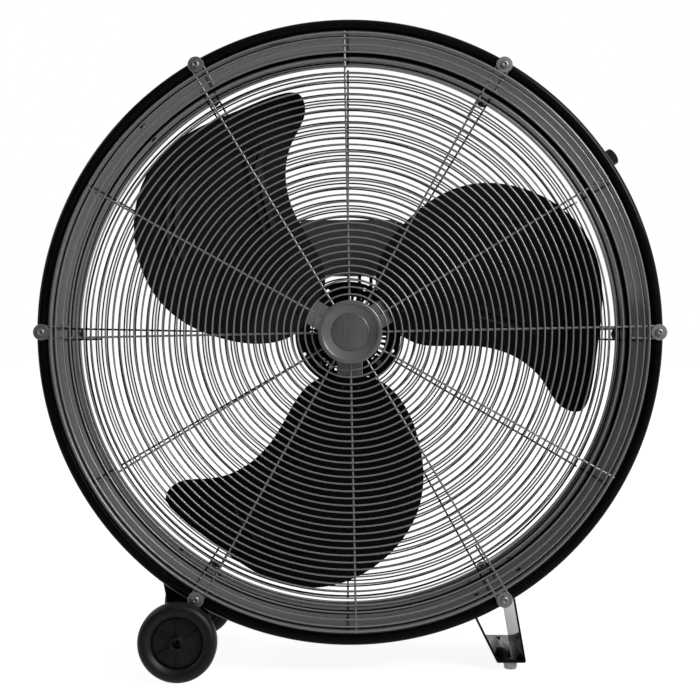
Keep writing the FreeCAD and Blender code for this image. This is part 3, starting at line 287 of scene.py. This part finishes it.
# Moulded polypropylene wheel: near black with the fine texture of the mould
wheel_plastic = surface("moulded_wheel_plastic", ("#0A0A0B", "#101010"), 1.1, (0.48, 0.60), 0.012,
                        specular=0.2)
# Solid moulded tyre: near black, matt, a little scuffed
tyre_rubber = surface("solid_tyre_rubber", ("#0B0B0C", "#111112"), 5, (0.40, 0.52), 0.012, specular=0.2)
# Moulded grey feet: satin, with faint upright streaks in the tone that are painted reflection, standing for
# the upright bands a satin foot reflects
foot_rubber = surface("grey_foot_rubber", ("#7A7A79", "#969694"), 2.2, (0.22, 0.32), 0.006, (1, 1, 0.06),
                      metallic=0.5, cloud_mm=12)
# Moulded black plastic of the knob and the gland: fine spark-eroded texture
black_plastic = surface("moulded_black_plastic", ("#090909", "#0E0E0E"), 0.9, (0.42, 0.55), 0.01,
                        specular=0.1)
# Pale plastic can of the capacitor: smooth, faintly yellowed
pale_plastic = surface("pale_capacitor_plastic", ("#C4BEAE", "#D2CDBE"), 4, (0.40, 0.5), 0.01)
# Turned brass spindle: warm, with tool rings along it
spindle_brass = surface("turned_brass", ("#A98242", "#C9A35C"), 0.8, (0.25, 0.38), 0.005, (0.1, 0.1, 1),
                        metallic=1.0)
# Woven insulating sleeve on the motor leads: matt black with a fibre grain
lead_sleeve = surface("black_lead_sleeve", ("#0E0E0E", "#1A1A1A"), 1.4, (0.6, 0.75), 0.05)

finishes = {
    "drum_paint": stoved_enamel, "blade_paint": blade_coat, "front_wire": wire_coat,
    "rear_wire": rear_wire_coat, "cap_paint": cap_lacquer, "badge_metal": badge_metal,
    "hub_paint": hub_enamel, "motor_paint": motor_enamel, "box_paint": box_enamel,
    "lamination_steel": lamination, "winding_copper": copper_winding, "bare_steel": turned_steel,
    "black_steel": black_steel, "plated_steel": zinc_plate, "wheel_plastic": wheel_plastic,
    "tyre_rubber": tyre_rubber, "foot_rubber": foot_rubber, "black_plastic": black_plastic,
    "pale_plastic": pale_plastic, "spindle_brass": spindle_brass, "lead_sheath": lead_sleeve,
}
slots = {subpart["node"]: subpart["material_slot"] for subpart in frame["record"]["subparts"]}
for node_name, slot_name in slots.items():
    cad_mesh = nodes[node_name].data
    cad_mesh.materials.clear()
    cad_mesh.materials.append(finishes[slot_name])


# Drum: one sheet with pressed ribs and both edges rolled outwards

def rib(middle, width, rise):
    """A pressed rib with rounded flanks, from sizes in millimetres, as (radius, y) pairs."""
    steps = 8
    fullness = 0.7
    points = []
    for i in range(steps + 1):
        share = i / steps
        swell = math.sin(math.pi * share) ** fullness
        points.append((DRUM_R - rise * MM * swell, (middle + width * (share - 0.5)) * MM))
    return points


def rolled_edge(side):
    """The open roll at one edge, from the wall out to its tip."""
    roll = BEAD_R - SHEET / 2
    steps = 26
    points = []
    for i in range(steps + 1):
        turn = BEAD_ROLL * i / steps
        points.append((SCREW_R - roll * math.cos(turn), side * (BEAD_Y + roll * math.sin(turn))))
    return points


# Middle, width and rise of each rib in millimetres
drum_ribs = ((-77.5, 5, 1.2), (27.5, 16, 3.8), (77.5, 5, 1.2))
drum_steps = 240
drum = new_piece("drum_skin")
wall = [(radius + SHEET / 2, y) for pressed in drum_ribs for radius, y in rib(*pressed)]
turned_piece(rolled_edge(-1)[::-1] + wall + rolled_edge(1), drum_steps)
use_modifier(drum, "SOLIDIFY", thickness=SHEET, offset=0.0)
close_piece(drum, "frame", "drum_paint", stoved_enamel, "drum_shell", smooth=40)


# Wire grilles

def ring_wires(name, side, slot, material, stands_for, first, pitch, count):
    """All rings of one grille: a small circle for each, spun together round the axis.

    first is the radius of the innermost ring and pitch the step to the next, in millimetres."""
    piece = new_piece(name)
    wires = [((first + pitch * i) * MM, RING_WIRE, RING_Y) for i in range(count)]
    wires.append((FRAME_RING_R, FRAME_RING_WIRE, FRAME_RING_Y))
    for radius, thick, y in wires:
        bpy.ops.mesh.primitive_circle_add(vertices=8, radius=thick / 2, location=(radius, side * y, AXIS_Z))
    bpy.ops.mesh.select_all(action="SELECT")
    bpy.ops.mesh.spin(steps=144, angle=FULL, center=HUB, axis=ALONG_Y)
    sound_mesh()
    close_piece(piece, "frame", slot, material, stands_for, smooth=60)


def spoke_wires(name, side, slot, material, stands_for, start):
    """Spokes of one grille: a hairpin round a screw and a plain wire after it, modelled once and copied.

    start is the radius of the inner ends in millimetres. The plain spokes lean with the hairpins in the front
    grille and stand midway between them in the rear one."""
    piece = new_piece(name)
    lean = -side * HAIRPIN_LEAN
    y = side * SPOKE_Y
    reach = SCREW_R * math.cos(HAIRPIN_LEAN)
    plain = math.pi / SCREWS + (HAIRPIN_LEAN if side < 0 else 0.0)
    for angle, outer in ((lean, reach), (plain, FRAME_RING_R + PLAIN_SPOKE_OVERHANG)):
        foot = around(start * MM, angle, y)
        head = around(outer, angle, y)
        bpy.ops.mesh.select_all(action="DESELECT")
        bpy.ops.mesh.primitive_circle_add(vertices=10, radius=SPOKE_WIRE / 2, location=foot,
                                          rotation=(0, math.pi / 2 - angle, 0))
        bpy.ops.mesh.extrude_region_move(TRANSFORM_OT_translate={"value": head - foot})
        if angle == lean:
            bpy.ops.mesh.spin(steps=12, angle=side * math.pi, center=around(SCREW_R, 0, y), axis=ALONG_Y)
            back = around(SCREW_R - HAIRPIN_RETURN, -lean, y) - around(reach, -lean, y)
            bpy.ops.mesh.extrude_region_move(TRANSFORM_OT_translate={"value": back})
    bpy.ops.mesh.select_all(action="SELECT")
    bpy.ops.mesh.fill_holes(sides=0)
    bpy.ops.mesh.select_all(action="SELECT")
    copies_round(SCREWS)
    sound_mesh()
    close_piece(piece, "frame", slot, material, stands_for, smooth=50)


ring_wires("front_ring_wires", -1, "front_wire", wire_coat, "front_grille_rings",
           first=53.1, pitch=9.95, count=37)
ring_wires("rear_ring_wires", 1, "rear_wire", rear_wire_coat, "rear_grille_rings",
           first=53.0, pitch=8.96, count=41)
spoke_wires("front_spoke_wires", -1, "front_wire", wire_coat, "front_grille_spokes", start=38)
spoke_wires("rear_spoke_wires", 1, "rear_wire", rear_wire_coat, "rear_grille_spokes", start=51)


# Cap with its bare badge disc

cap = new_piece("cap_face")
cap_profile = [(0.0, 7.5), (36.1, 7.5), (36.1, 0.0), (44.0, 0.0), (44.5, 0.5)]
cap_profile += rounding((42.5, 12.7), 2.0, 0, 90) + rounding((39.6, 13.3), 1.4, 90, 180)
cap_profile += [(37.8, 13.1), (27.4, 11.05), (26.8, 10.85), (26.6, 10.4), (26.6, 10.0), (0.0, 10.0)]
turned_piece(over_wires(cap_profile), TURN_STEPS)
close_piece(cap, "frame", "cap_paint", cap_lacquer, "badge_cap", smooth=40)

badge = new_piece("badge_disc")
badge_profile = [(0.0, 10.05), (26.4, 10.05), (26.4, 10.55), (26.0, 10.9), (25.2, 11.0), (0.0, 11.0)]
turned_piece(over_wires(badge_profile), TURN_STEPS)
close_piece(badge, "frame", "badge_metal", badge_metal, "badge_plate", smooth=40)


# Embossing: a sharp-cornered groove between two soft swells on each blade

def blade_point(out, side, rise):
    """Point on the front face of the blade along +X, at shares of the tip radius, lifted by rise."""
    # Share of the tip radius, pitch in degrees and camber in millimetres of each section
    sections = [(0.12, 24.0, 0.0), (0.33, 24.0, 0.0), (0.55, 20.04, 9.8), (0.78, 15.96, 14.0),
                (1.05, 12.0, 14.0)]
    for (r0, p0, c0), (r1, p1, c1) in zip(sections, sections[1:]):
        if out <= r1:
            break
    share = (out - r0) / (r1 - r0)
    aim = side * BLADE_TIP
    along = aim / BLADE_CHORD
    # The place along the chord is worked out in a few steps, because pitch and camber move it sideways
    for _ in range(6):
        y = z = 0.0
        for part, pitch, camber in ((1 - share, p0, c0), (share, p1, c1)):
            turn = math.radians(pitch)
            bow = camber * MM * (1 - along * along) - (BLADE_SHEET + rise)
            z += part * (BLADE_CHORD * along * math.cos(turn) + bow * math.sin(turn))
            y += part * (bow * math.cos(turn) - BLADE_CHORD * along * math.sin(turn))
        along += (aim - z) / BLADE_CHORD
    return Vector((out * BLADE_TIP, FAN_Y + y, AXIS_Z + z))


# Bends of the groove's line, as shares of the tip radius out along the blade and across it
ridge_bends = [(0.685, 0.108), (0.770, 0.030), (0.817, -0.036), (0.850, -0.105), (0.866, -0.179),
               (0.857, -0.250), (0.831, -0.316), (0.795, -0.363), (0.754, -0.401), (0.715, -0.428),
               (0.675, -0.448), (0.664, -0.380), (0.601, -0.316), (0.538, -0.252), (0.460, -0.172)]


def ridge_square(i):
    """Direction square to the groove's line at one of its bends."""
    before = Vector(ridge_bends[max(i - 1, 0)])
    after = Vector(ridge_bends[min(i + 1, len(ridge_bends) - 1)])
    ahead = (after - before).normalized()
    return Vector((-ahead.y, ahead.x))


def ridge_rise(across):
    """Height over the blade at a distance from the groove's line: soft slopes outside, steep walls inside."""
    steps = [(0.0, 0.05), (2.2, 0.05), (2.8, 0.25), (5.0, 1.7), (5.6, 1.85), (6.4, 1.8), (15.0, -0.1)]
    for (d0, h0), (d1, h1) in zip(steps, steps[1:]):
        if across <= d1:
            return h0 + (h1 - h0) * (across - d0) / (d1 - d0)
    return steps[-1][1]


# The embossed strip is a grid laid along the groove, whose ends and sides dip just under the blade's face
ridge_width = 30
ridge_dip = 0.1
ridge_end_share = 0.025
ridges = new_piece("blade_ridges")
bpy.ops.mesh.primitive_grid_add(x_subdivisions=140, y_subdivisions=50, size=1.0)
bpy.ops.object.mode_set(mode="OBJECT")
for corner in ridges.data.vertices:
    along_share = corner.co.x + 0.5
    across = corner.co.y * ridge_width
    run = along_share * (len(ridge_bends) - 1)
    bend = min(int(run), len(ridge_bends) - 2)
    spot = Vector(ridge_bends[bend]).lerp(Vector(ridge_bends[bend + 1]), run - bend)
    spot += ridge_square(bend).lerp(ridge_square(bend + 1), run - bend) * (across * MM / BLADE_TIP)
    taper = min(1.0, min(along_share, 1 - along_share) / ridge_end_share)
    rise = ridge_rise(abs(across)) * taper - ridge_dip * (1 - taper)
    corner.co = blade_point(spot.x, spot.y, rise * MM)
bpy.ops.object.mode_set(mode="EDIT")
bpy.ops.mesh.select_all(action="SELECT")
bpy.ops.transform.rotate(value=FIRST_BLADE, orient_axis="Y", center_override=HUB)
copies_round(BLADES)
sound_mesh()
close_piece(ridges, "fan", "blade_paint", blade_coat, smooth=70)


# Washers and pan head screws round both rims

def rim_fasteners(name, profile, steps, slot, material, stands_for):
    """One fastener turned at the first screw, copied round the front rim and mirrored to the rear one."""
    piece = new_piece(name)
    turned_piece(over_wires(profile), steps, around(SCREW_R, 0, 0))
    bpy.ops.mesh.select_all(action="SELECT")
    copies_round(SCREWS)
    use_modifier(piece, "MIRROR", use_axis=(False, True, False), use_mirror_merge=False)
    bpy.ops.object.mode_set(mode="EDIT")
    sound_mesh()
    close_piece(piece, "frame", slot, material, stands_for)


# Radius and rise over the spokes in millimetres; the washers are drawn 0.8 mm wider than their solids
washer_profile = [(3.3, 0.0), (11.0, 0.0), (11.3, 0.3), (11.3, 1.0), (10.9, 1.45), (10.2, 1.5), (3.3, 1.5),
                  (3.3, 0.0)]
rim_fasteners("rim_washers", washer_profile, 40, "plated_steel", tumbled_zinc, "grille_washers")
screw_profile = [(0.0, -25.0), (3.0, -25.0), (3.0, 1.5), (5.2, 1.5), (5.4, 1.75), (5.2, 3.0), (4.7, 3.9),
                 (3.9, 4.5), (3.2, 4.85), (2.8, 4.9), (2.5, 4.7), (2.1, 3.4), (0.0, 3.1)]
rim_fasteners("rim_screws", screw_profile, 32, "plated_steel", zinc_plate, "grille_screws")


# Wheels: a solid tyre with a bevel round its seat, and a ribbed disc with a boss

def tyre(name, side, body, stands_for):
    """Solid tyre: a bevel out from its seat, then a flat side, round shoulders and the tread."""
    piece = new_piece(name)
    half = [(36.0, 9.6), (36.5, 10.4), (42.4, 13.5), (43.4, 14.0), (46.2, 14.0)]
    shoulder = [math.radians(turn) for turn in range(10, 91, 10)]
    half += [(47 + 8 * math.sin(turn), 5 + 9 * math.cos(turn)) for turn in shoulder]
    profile = half + [(radius, -y) for radius, y in half[::-1]] + half[:1]
    turned_piece([(radius * MM, y * MM) for radius, y in profile], TURN_STEPS, WHEELS[side])
    close_piece(piece, body, "tyre_rubber", tyre_rubber, stands_for, smooth=38)


def wheel_disc(name, side, body, stands_for):
    """Disc with ribs on both faces, and a boss that is bored wider on the side away from the drum."""
    piece = new_piece(name)
    half = [(9.0, 14.0), (9.5, 13.5), (9.9, 6.0), (10.8, 4.4), (12.0, 4.0), (33.6, 4.0), (34.2, 3.6),
            (34.4, 1.5), (35.98, 1.5)]
    profile = [(5.05, -2.0), (6.6, -2.0), (6.6, 13.4), (7.1, 14.0)] + half
    profile += [(radius, -y) for radius, y in half[::-1]] + [(5.5, -14.0), (5.05, -13.5)]
    profile.append(profile[0])
    middle = WHEELS[side]
    turned_piece([(radius * MM, side * y * MM) for radius, y in profile], TURN_STEPS, middle)
    bpy.ops.object.mode_set(mode="OBJECT")
    ribs = new_piece("wheel_ribs")
    rib_place = (21.7 * MM, 0, 0)
    rib_size = (25.4 * MM, 12 * MM, 2 * MM)
    bpy.ops.mesh.primitive_cube_add(size=1.0, location=middle + Vector(rib_place), scale=rib_size)
    bpy.ops.mesh.bevel(offset=0.5 * MM, segments=2, affect="EDGES")
    bpy.ops.mesh.select_all(action="SELECT")
    copies_round(WHEEL_RIBS, middle)
    bpy.ops.mesh.select_all(action="SELECT")
    bpy.ops.transform.rotate(value=math.pi / WHEEL_RIBS, orient_axis="Y", center_override=middle)
    sound_mesh()
    use_modifier(piece, "BOOLEAN", operation="UNION", object=ribs, solver="EXACT")
    bpy.data.objects.remove(ribs)
    close_piece(piece, body, "wheel_plastic", wheel_plastic, stands_for, smooth=30)


tyre("front_tyre", -1, "front_wheel", "front_wheel_tyre")
tyre("rear_tyre", 1, "rear_wheel", "rear_wheel_tyre")
wheel_disc("front_wheel_centre", -1, "front_wheel", "front_wheel_disc")
wheel_disc("rear_wheel_centre", 1, "rear_wheel", "rear_wheel_disc")


# Feet under the leg: tapered pads with a rounded sole

pads = new_piece("moulded_feet")
pad_profile = [(0.0, 0.0), (7.8, 0.0), (8.6, 0.25), (9.0, 0.9), (9.2, 2.0), (10.5, 10.7), (10.4, 11.05),
               (10.0, 11.2), (0.0, 11.2)]
sole = Vector((FOOT_X, -FOOT_REACH, 0))
draw_line([sole + Vector((radius, 0, height)) * MM for radius, height in pad_profile])
bpy.ops.mesh.spin(steps=40, angle=FULL, center=sole, axis=(0, 0, 1))
sound_mesh()
bpy.ops.mesh.duplicate_move(TRANSFORM_OT_translate={"value": (0, 2 * FOOT_REACH, 0)})
close_piece(pads, "frame", "foot_rubber", foot_rubber, "feet", smooth=38)


# Pressed and folded pieces whose solids are right keep their shape and get the small radius of a real edge

def eased_copy(node, radius, body="frame"):
    """A copy of one CAD piece with its sharp edges rounded to a radius in millimetres."""
    source = nodes[node]
    piece = source.copy()
    piece.data = source.data.copy()
    piece.parent = None
    piece.name = piece.data.name = "eased_" + node
    for mark in [key for key in piece.keys() if key.startswith("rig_")]:
        del piece[mark]
    bpy.context.scene.collection.objects.link(piece)
    pick_up(piece)
    bpy.ops.object.mode_set(mode="EDIT")
    bpy.ops.mesh.select_all(action="SELECT")
    bpy.ops.mesh.remove_doubles(threshold=MERGE)
    bpy.ops.mesh.dissolve_limited(angle_limit=math.radians(1))
    use_modifier(piece, "BEVEL", width=radius * MM, segments=2, limit_method="ANGLE", angle_limit=SHARP_EDGE)
    close_piece(piece, body, slots[node], finishes[slots[node]], node, smooth=40)


eased_edges = {"terminal_box": 1.0, "switch_box": 1.0, "switch_cover": 0.7, "carry_handle": 1.2, "leg": 0.6,
               "wheel_bracket_front": 0.7, "wheel_bracket_rear": 0.7}
for cad_name, edge in eased_edges.items():
    eased_copy(cad_name, edge)
eased_copy("fan_hub", 0.6, "fan")


# Knob with a domed top, two flats that make its grip and a pointer line, turned along +X and swung into place

knob = new_piece("domed_knob")
knob_profile = [(0.0, 0.0), (0.0, 12.5), (0.4, 12.95), (17.4, 12.3), (18.2, 11.9), (18.7, 11.2), (19.6, 9.5),
                (20.5, 6.8), (21.0, 3.6), (21.1, 0.0)]
draw_line([KNOB_FOOT + Vector((height, 0, radius)) * MM for height, radius in knob_profile])
bpy.ops.mesh.spin(steps=64, angle=FULL, center=KNOB_FOOT, axis=(1, 0, 0))
sound_mesh()
bpy.ops.object.mode_set(mode="OBJECT")
# Place and size of each cut over the knob's foot, in millimetres: two flats, the pointer line and the bore
knob_cuts = (((16, 19, 0), (20, 20, 40)), ((16, -19, 0), (20, 20, 40)), ((21, 0, 7), (2, 2, 14)),
             ((8, 0, 0), (20, 6, 6)))
cutter = new_piece("grip_cutter")
for spot, size in knob_cuts:
    bpy.ops.mesh.primitive_cube_add(size=1.0, location=KNOB_FOOT + Vector(spot) * MM,
                                    scale=[length * MM for length in size])
use_modifier(knob, "BOOLEAN", operation="DIFFERENCE", object=cutter, solver="EXACT", use_self=True)
bpy.data.objects.remove(cutter)
use_modifier(knob, "BEVEL", width=0.4 * MM, segments=2, limit_method="ANGLE", angle_limit=SHARP_EDGE)
bpy.ops.object.mode_set(mode="EDIT")
bpy.ops.mesh.select_all(action="SELECT")
bpy.ops.transform.rotate(value=SWITCH_ANGLE, orient_axis="Y", center_override=HUB)
sound_mesh()
close_piece(knob, "knob", "black_plastic", black_plastic, "speed_knob")


# Floor: white to the camera, with the shadow of the fan on it

FLOOR_SIZE = 60
FLOOR_DROP = 0.5 * MM
bpy.ops.object.select_all(action="DESELECT")
bpy.ops.mesh.primitive_plane_add(size=FLOOR_SIZE, location=(0, 0, -FLOOR_DROP))
floor = bpy.context.object
floor.name = "studio_floor"
floor_paint = bpy.data.materials.new("white_studio_floor")
floor_paint.use_nodes = True
tree = floor_paint.node_tree
tree.nodes.clear()
place = add(tree, "ShaderNodeTexCoord")
reach = add(tree, "ShaderNodeVectorMath", {"operation": "LENGTH"}, {0: place.outputs["Object"]})
far = add(tree, "ShaderNodeMapRange", None,
          {"Value": reach.outputs["Value"], "From Min": 0.5, "From Max": 2.5, "To Min": 0.92, "To Max": 1.0})
glow = add(tree, "ShaderNodeEmission", None, {"Color": (1, 1, 1, 1), "Strength": far.outputs[0]})
matt = add(tree, "ShaderNodeBsdfDiffuse", None, {"Color": (0.2, 0.2, 0.2, 1)})
both = add(tree, "ShaderNodeAddShader", None, {0: glow.outputs[0], 1: matt.outputs[0]})
plain = add(tree, "ShaderNodeBsdfDiffuse", None, {"Color": (0.4, 0.4, 0.4, 1)})
ray = add(tree, "ShaderNodeLightPath")
mirrored = add(tree, "ShaderNodeMath", {"operation": "MAXIMUM"},
               {0: ray.outputs["Is Glossy Ray"], 1: ray.outputs["Is Transmission Ray"]})
# In mirrored rays the floor is white under and behind the fan and dim in front, where the backdrop paper ends
spot = add(tree, "ShaderNodeSeparateXYZ", None, {0: place.outputs["Object"]})
paper = add(tree, "ShaderNodeMapRange", None,
            {"Value": spot.outputs["Y"], "From Min": -0.35, "From Max": -0.1, "To Min": 0.0, "To Max": 1.0})
mirror_share = add(tree, "ShaderNodeMath", {"operation": "MULTIPLY"},
                   {0: mirrored.outputs[0], 1: paper.outputs[0]})
shown = add(tree, "ShaderNodeMath", {"operation": "MAXIMUM"},
            {0: ray.outputs["Is Camera Ray"], 1: mirror_share.outputs[0]})
pick = add(tree, "ShaderNodeMixShader", None, {0: shown.outputs[0], 1: plain.outputs[0], 2: both.outputs[0]})
add(tree, "ShaderNodeOutputMaterial", None, {"Surface": pick.outputs[0]})
floor.data.materials.append(floor_paint)


# Room and backdrop

world = bpy.data.worlds.new("white_studio")
world.use_nodes = True
bpy.context.scene.world = world
tree = world.node_tree
tree.nodes.clear()
ray = add(tree, "ShaderNodeLightPath")
place = add(tree, "ShaderNodeTexCoord")
way = add(tree, "ShaderNodeSeparateXYZ", None, {0: place.outputs["Generated"]})
# The room is dim in front and lighter behind, to the right and above
deep = add(tree, "ShaderNodeMapRange", None,
           {"Value": way.outputs["Y"], "From Min": -0.6, "From Max": 0.6, "To Min": 0.14, "To Max": 0.5})
right = add(tree, "ShaderNodeMath", {"operation": "MULTIPLY_ADD"},
            {0: way.outputs["X"], 1: 0.42, 2: deep.outputs[0]})
room = add(tree, "ShaderNodeMath", {"operation": "MULTIPLY_ADD", "use_clamp": True},
           {0: way.outputs["Z"], 1: 0.15, 2: right.outputs[0]})
# The white backdrop stands behind the fan, lit from the right and below; the camera sees white on every
# side, and mirrored rays that go back see the backdrop
back = add(tree, "ShaderNodeMapRange", None,
           {"Value": way.outputs["Y"], "From Min": -0.1, "From Max": 0.4, "To Min": 0.0, "To Max": 1.0})
wash = add(tree, "ShaderNodeMath", {"operation": "MULTIPLY_ADD"}, {0: way.outputs["X"], 1: 1.7, 2: 0.55})
lit = add(tree, "ShaderNodeMath", {"operation": "MULTIPLY_ADD", "use_clamp": True},
          {0: way.outputs["Z"], 1: -1.1, 2: wash.outputs[0]})
# Away from the middle of the backdrop its sides give an even light, which draws the outer edge of the beads
flank = add(tree, "ShaderNodeMapRange", None,
            {"Value": way.outputs["Y"], "From Min": 0.6, "From Max": 0.88, "To Min": 0.5, "To Max": 0.0})
sides = add(tree, "ShaderNodeMath", {"operation": "MAXIMUM"}, {0: lit.outputs[0], 1: flank.outputs[0]})
backdrop = add(tree, "ShaderNodeMath", {"operation": "MULTIPLY"}, {0: back.outputs[0], 1: sides.outputs[0]})
mirrored = add(tree, "ShaderNodeMath", {"operation": "MAXIMUM"},
               {0: ray.outputs["Is Glossy Ray"], 1: ray.outputs["Is Transmission Ray"]})
behind = add(tree, "ShaderNodeMath", {"operation": "MULTIPLY"},
             {0: mirrored.outputs[0], 1: backdrop.outputs[0]})
shown = add(tree, "ShaderNodeMath", {"operation": "MAXIMUM"},
            {0: ray.outputs["Is Camera Ray"], 1: behind.outputs[0]})
level = add(tree, "ShaderNodeMix", None, {"Factor": shown.outputs[0], "A": room.outputs[0], "B": 1.0})
white = add(tree, "ShaderNodeBackground", None, {"Color": (1, 1, 1, 1), "Strength": level.outputs["Result"]})
add(tree, "ShaderNodeOutputWorld", None, {"Surface": white.outputs[0]})


# Lamps: the key in front on the right, a weak fill behind on the left and a weak strip out on the left

LAMP_AIM = Vector((0, 0, 0.5))


def softbox(name, place, width, height, power):
    """A large soft lamp turned towards the middle of the fan."""
    lamp = bpy.data.lights.new(name, "AREA")
    lamp.shape = "RECTANGLE"
    lamp.size = width
    lamp.size_y = height
    lamp.energy = power
    box = bpy.data.objects.new(name, lamp)
    bpy.context.scene.collection.objects.link(box)
    box.location = place
    box.rotation_euler = (LAMP_AIM - Vector(place)).to_track_quat("-Z", "Y").to_euler()


softbox("key_softbox", (2.35, -1.7, 2.25), width=1.6, height=1.6, power=150)
softbox("fill_softbox", (-2.6, 1.6, 1.8), width=1.4, height=1.8, power=18)
softbox("left_strip", (-2.5, -0.5, 1.5), width=0.5, height=2.2, power=16)


# Camera: straight along +Y, with the place and lens that the photograph's rims give

view = bpy.data.cameras.new("photo_camera")
view.sensor_width = 36.0
view.lens = 60.37
view.shift_x = 0.0244
view.shift_y = -0.0015
camera = bpy.data.objects.new("photo_camera", view)
bpy.context.scene.collection.objects.link(camera)
camera.location = (-24 * MM, -1757 * MM, 460.6 * MM)
camera.rotation_euler = (math.pi / 2, 0, 0)
bpy.context.scene.camera = camera
bpy.context.scene.view_settings.view_transform = "Standard"
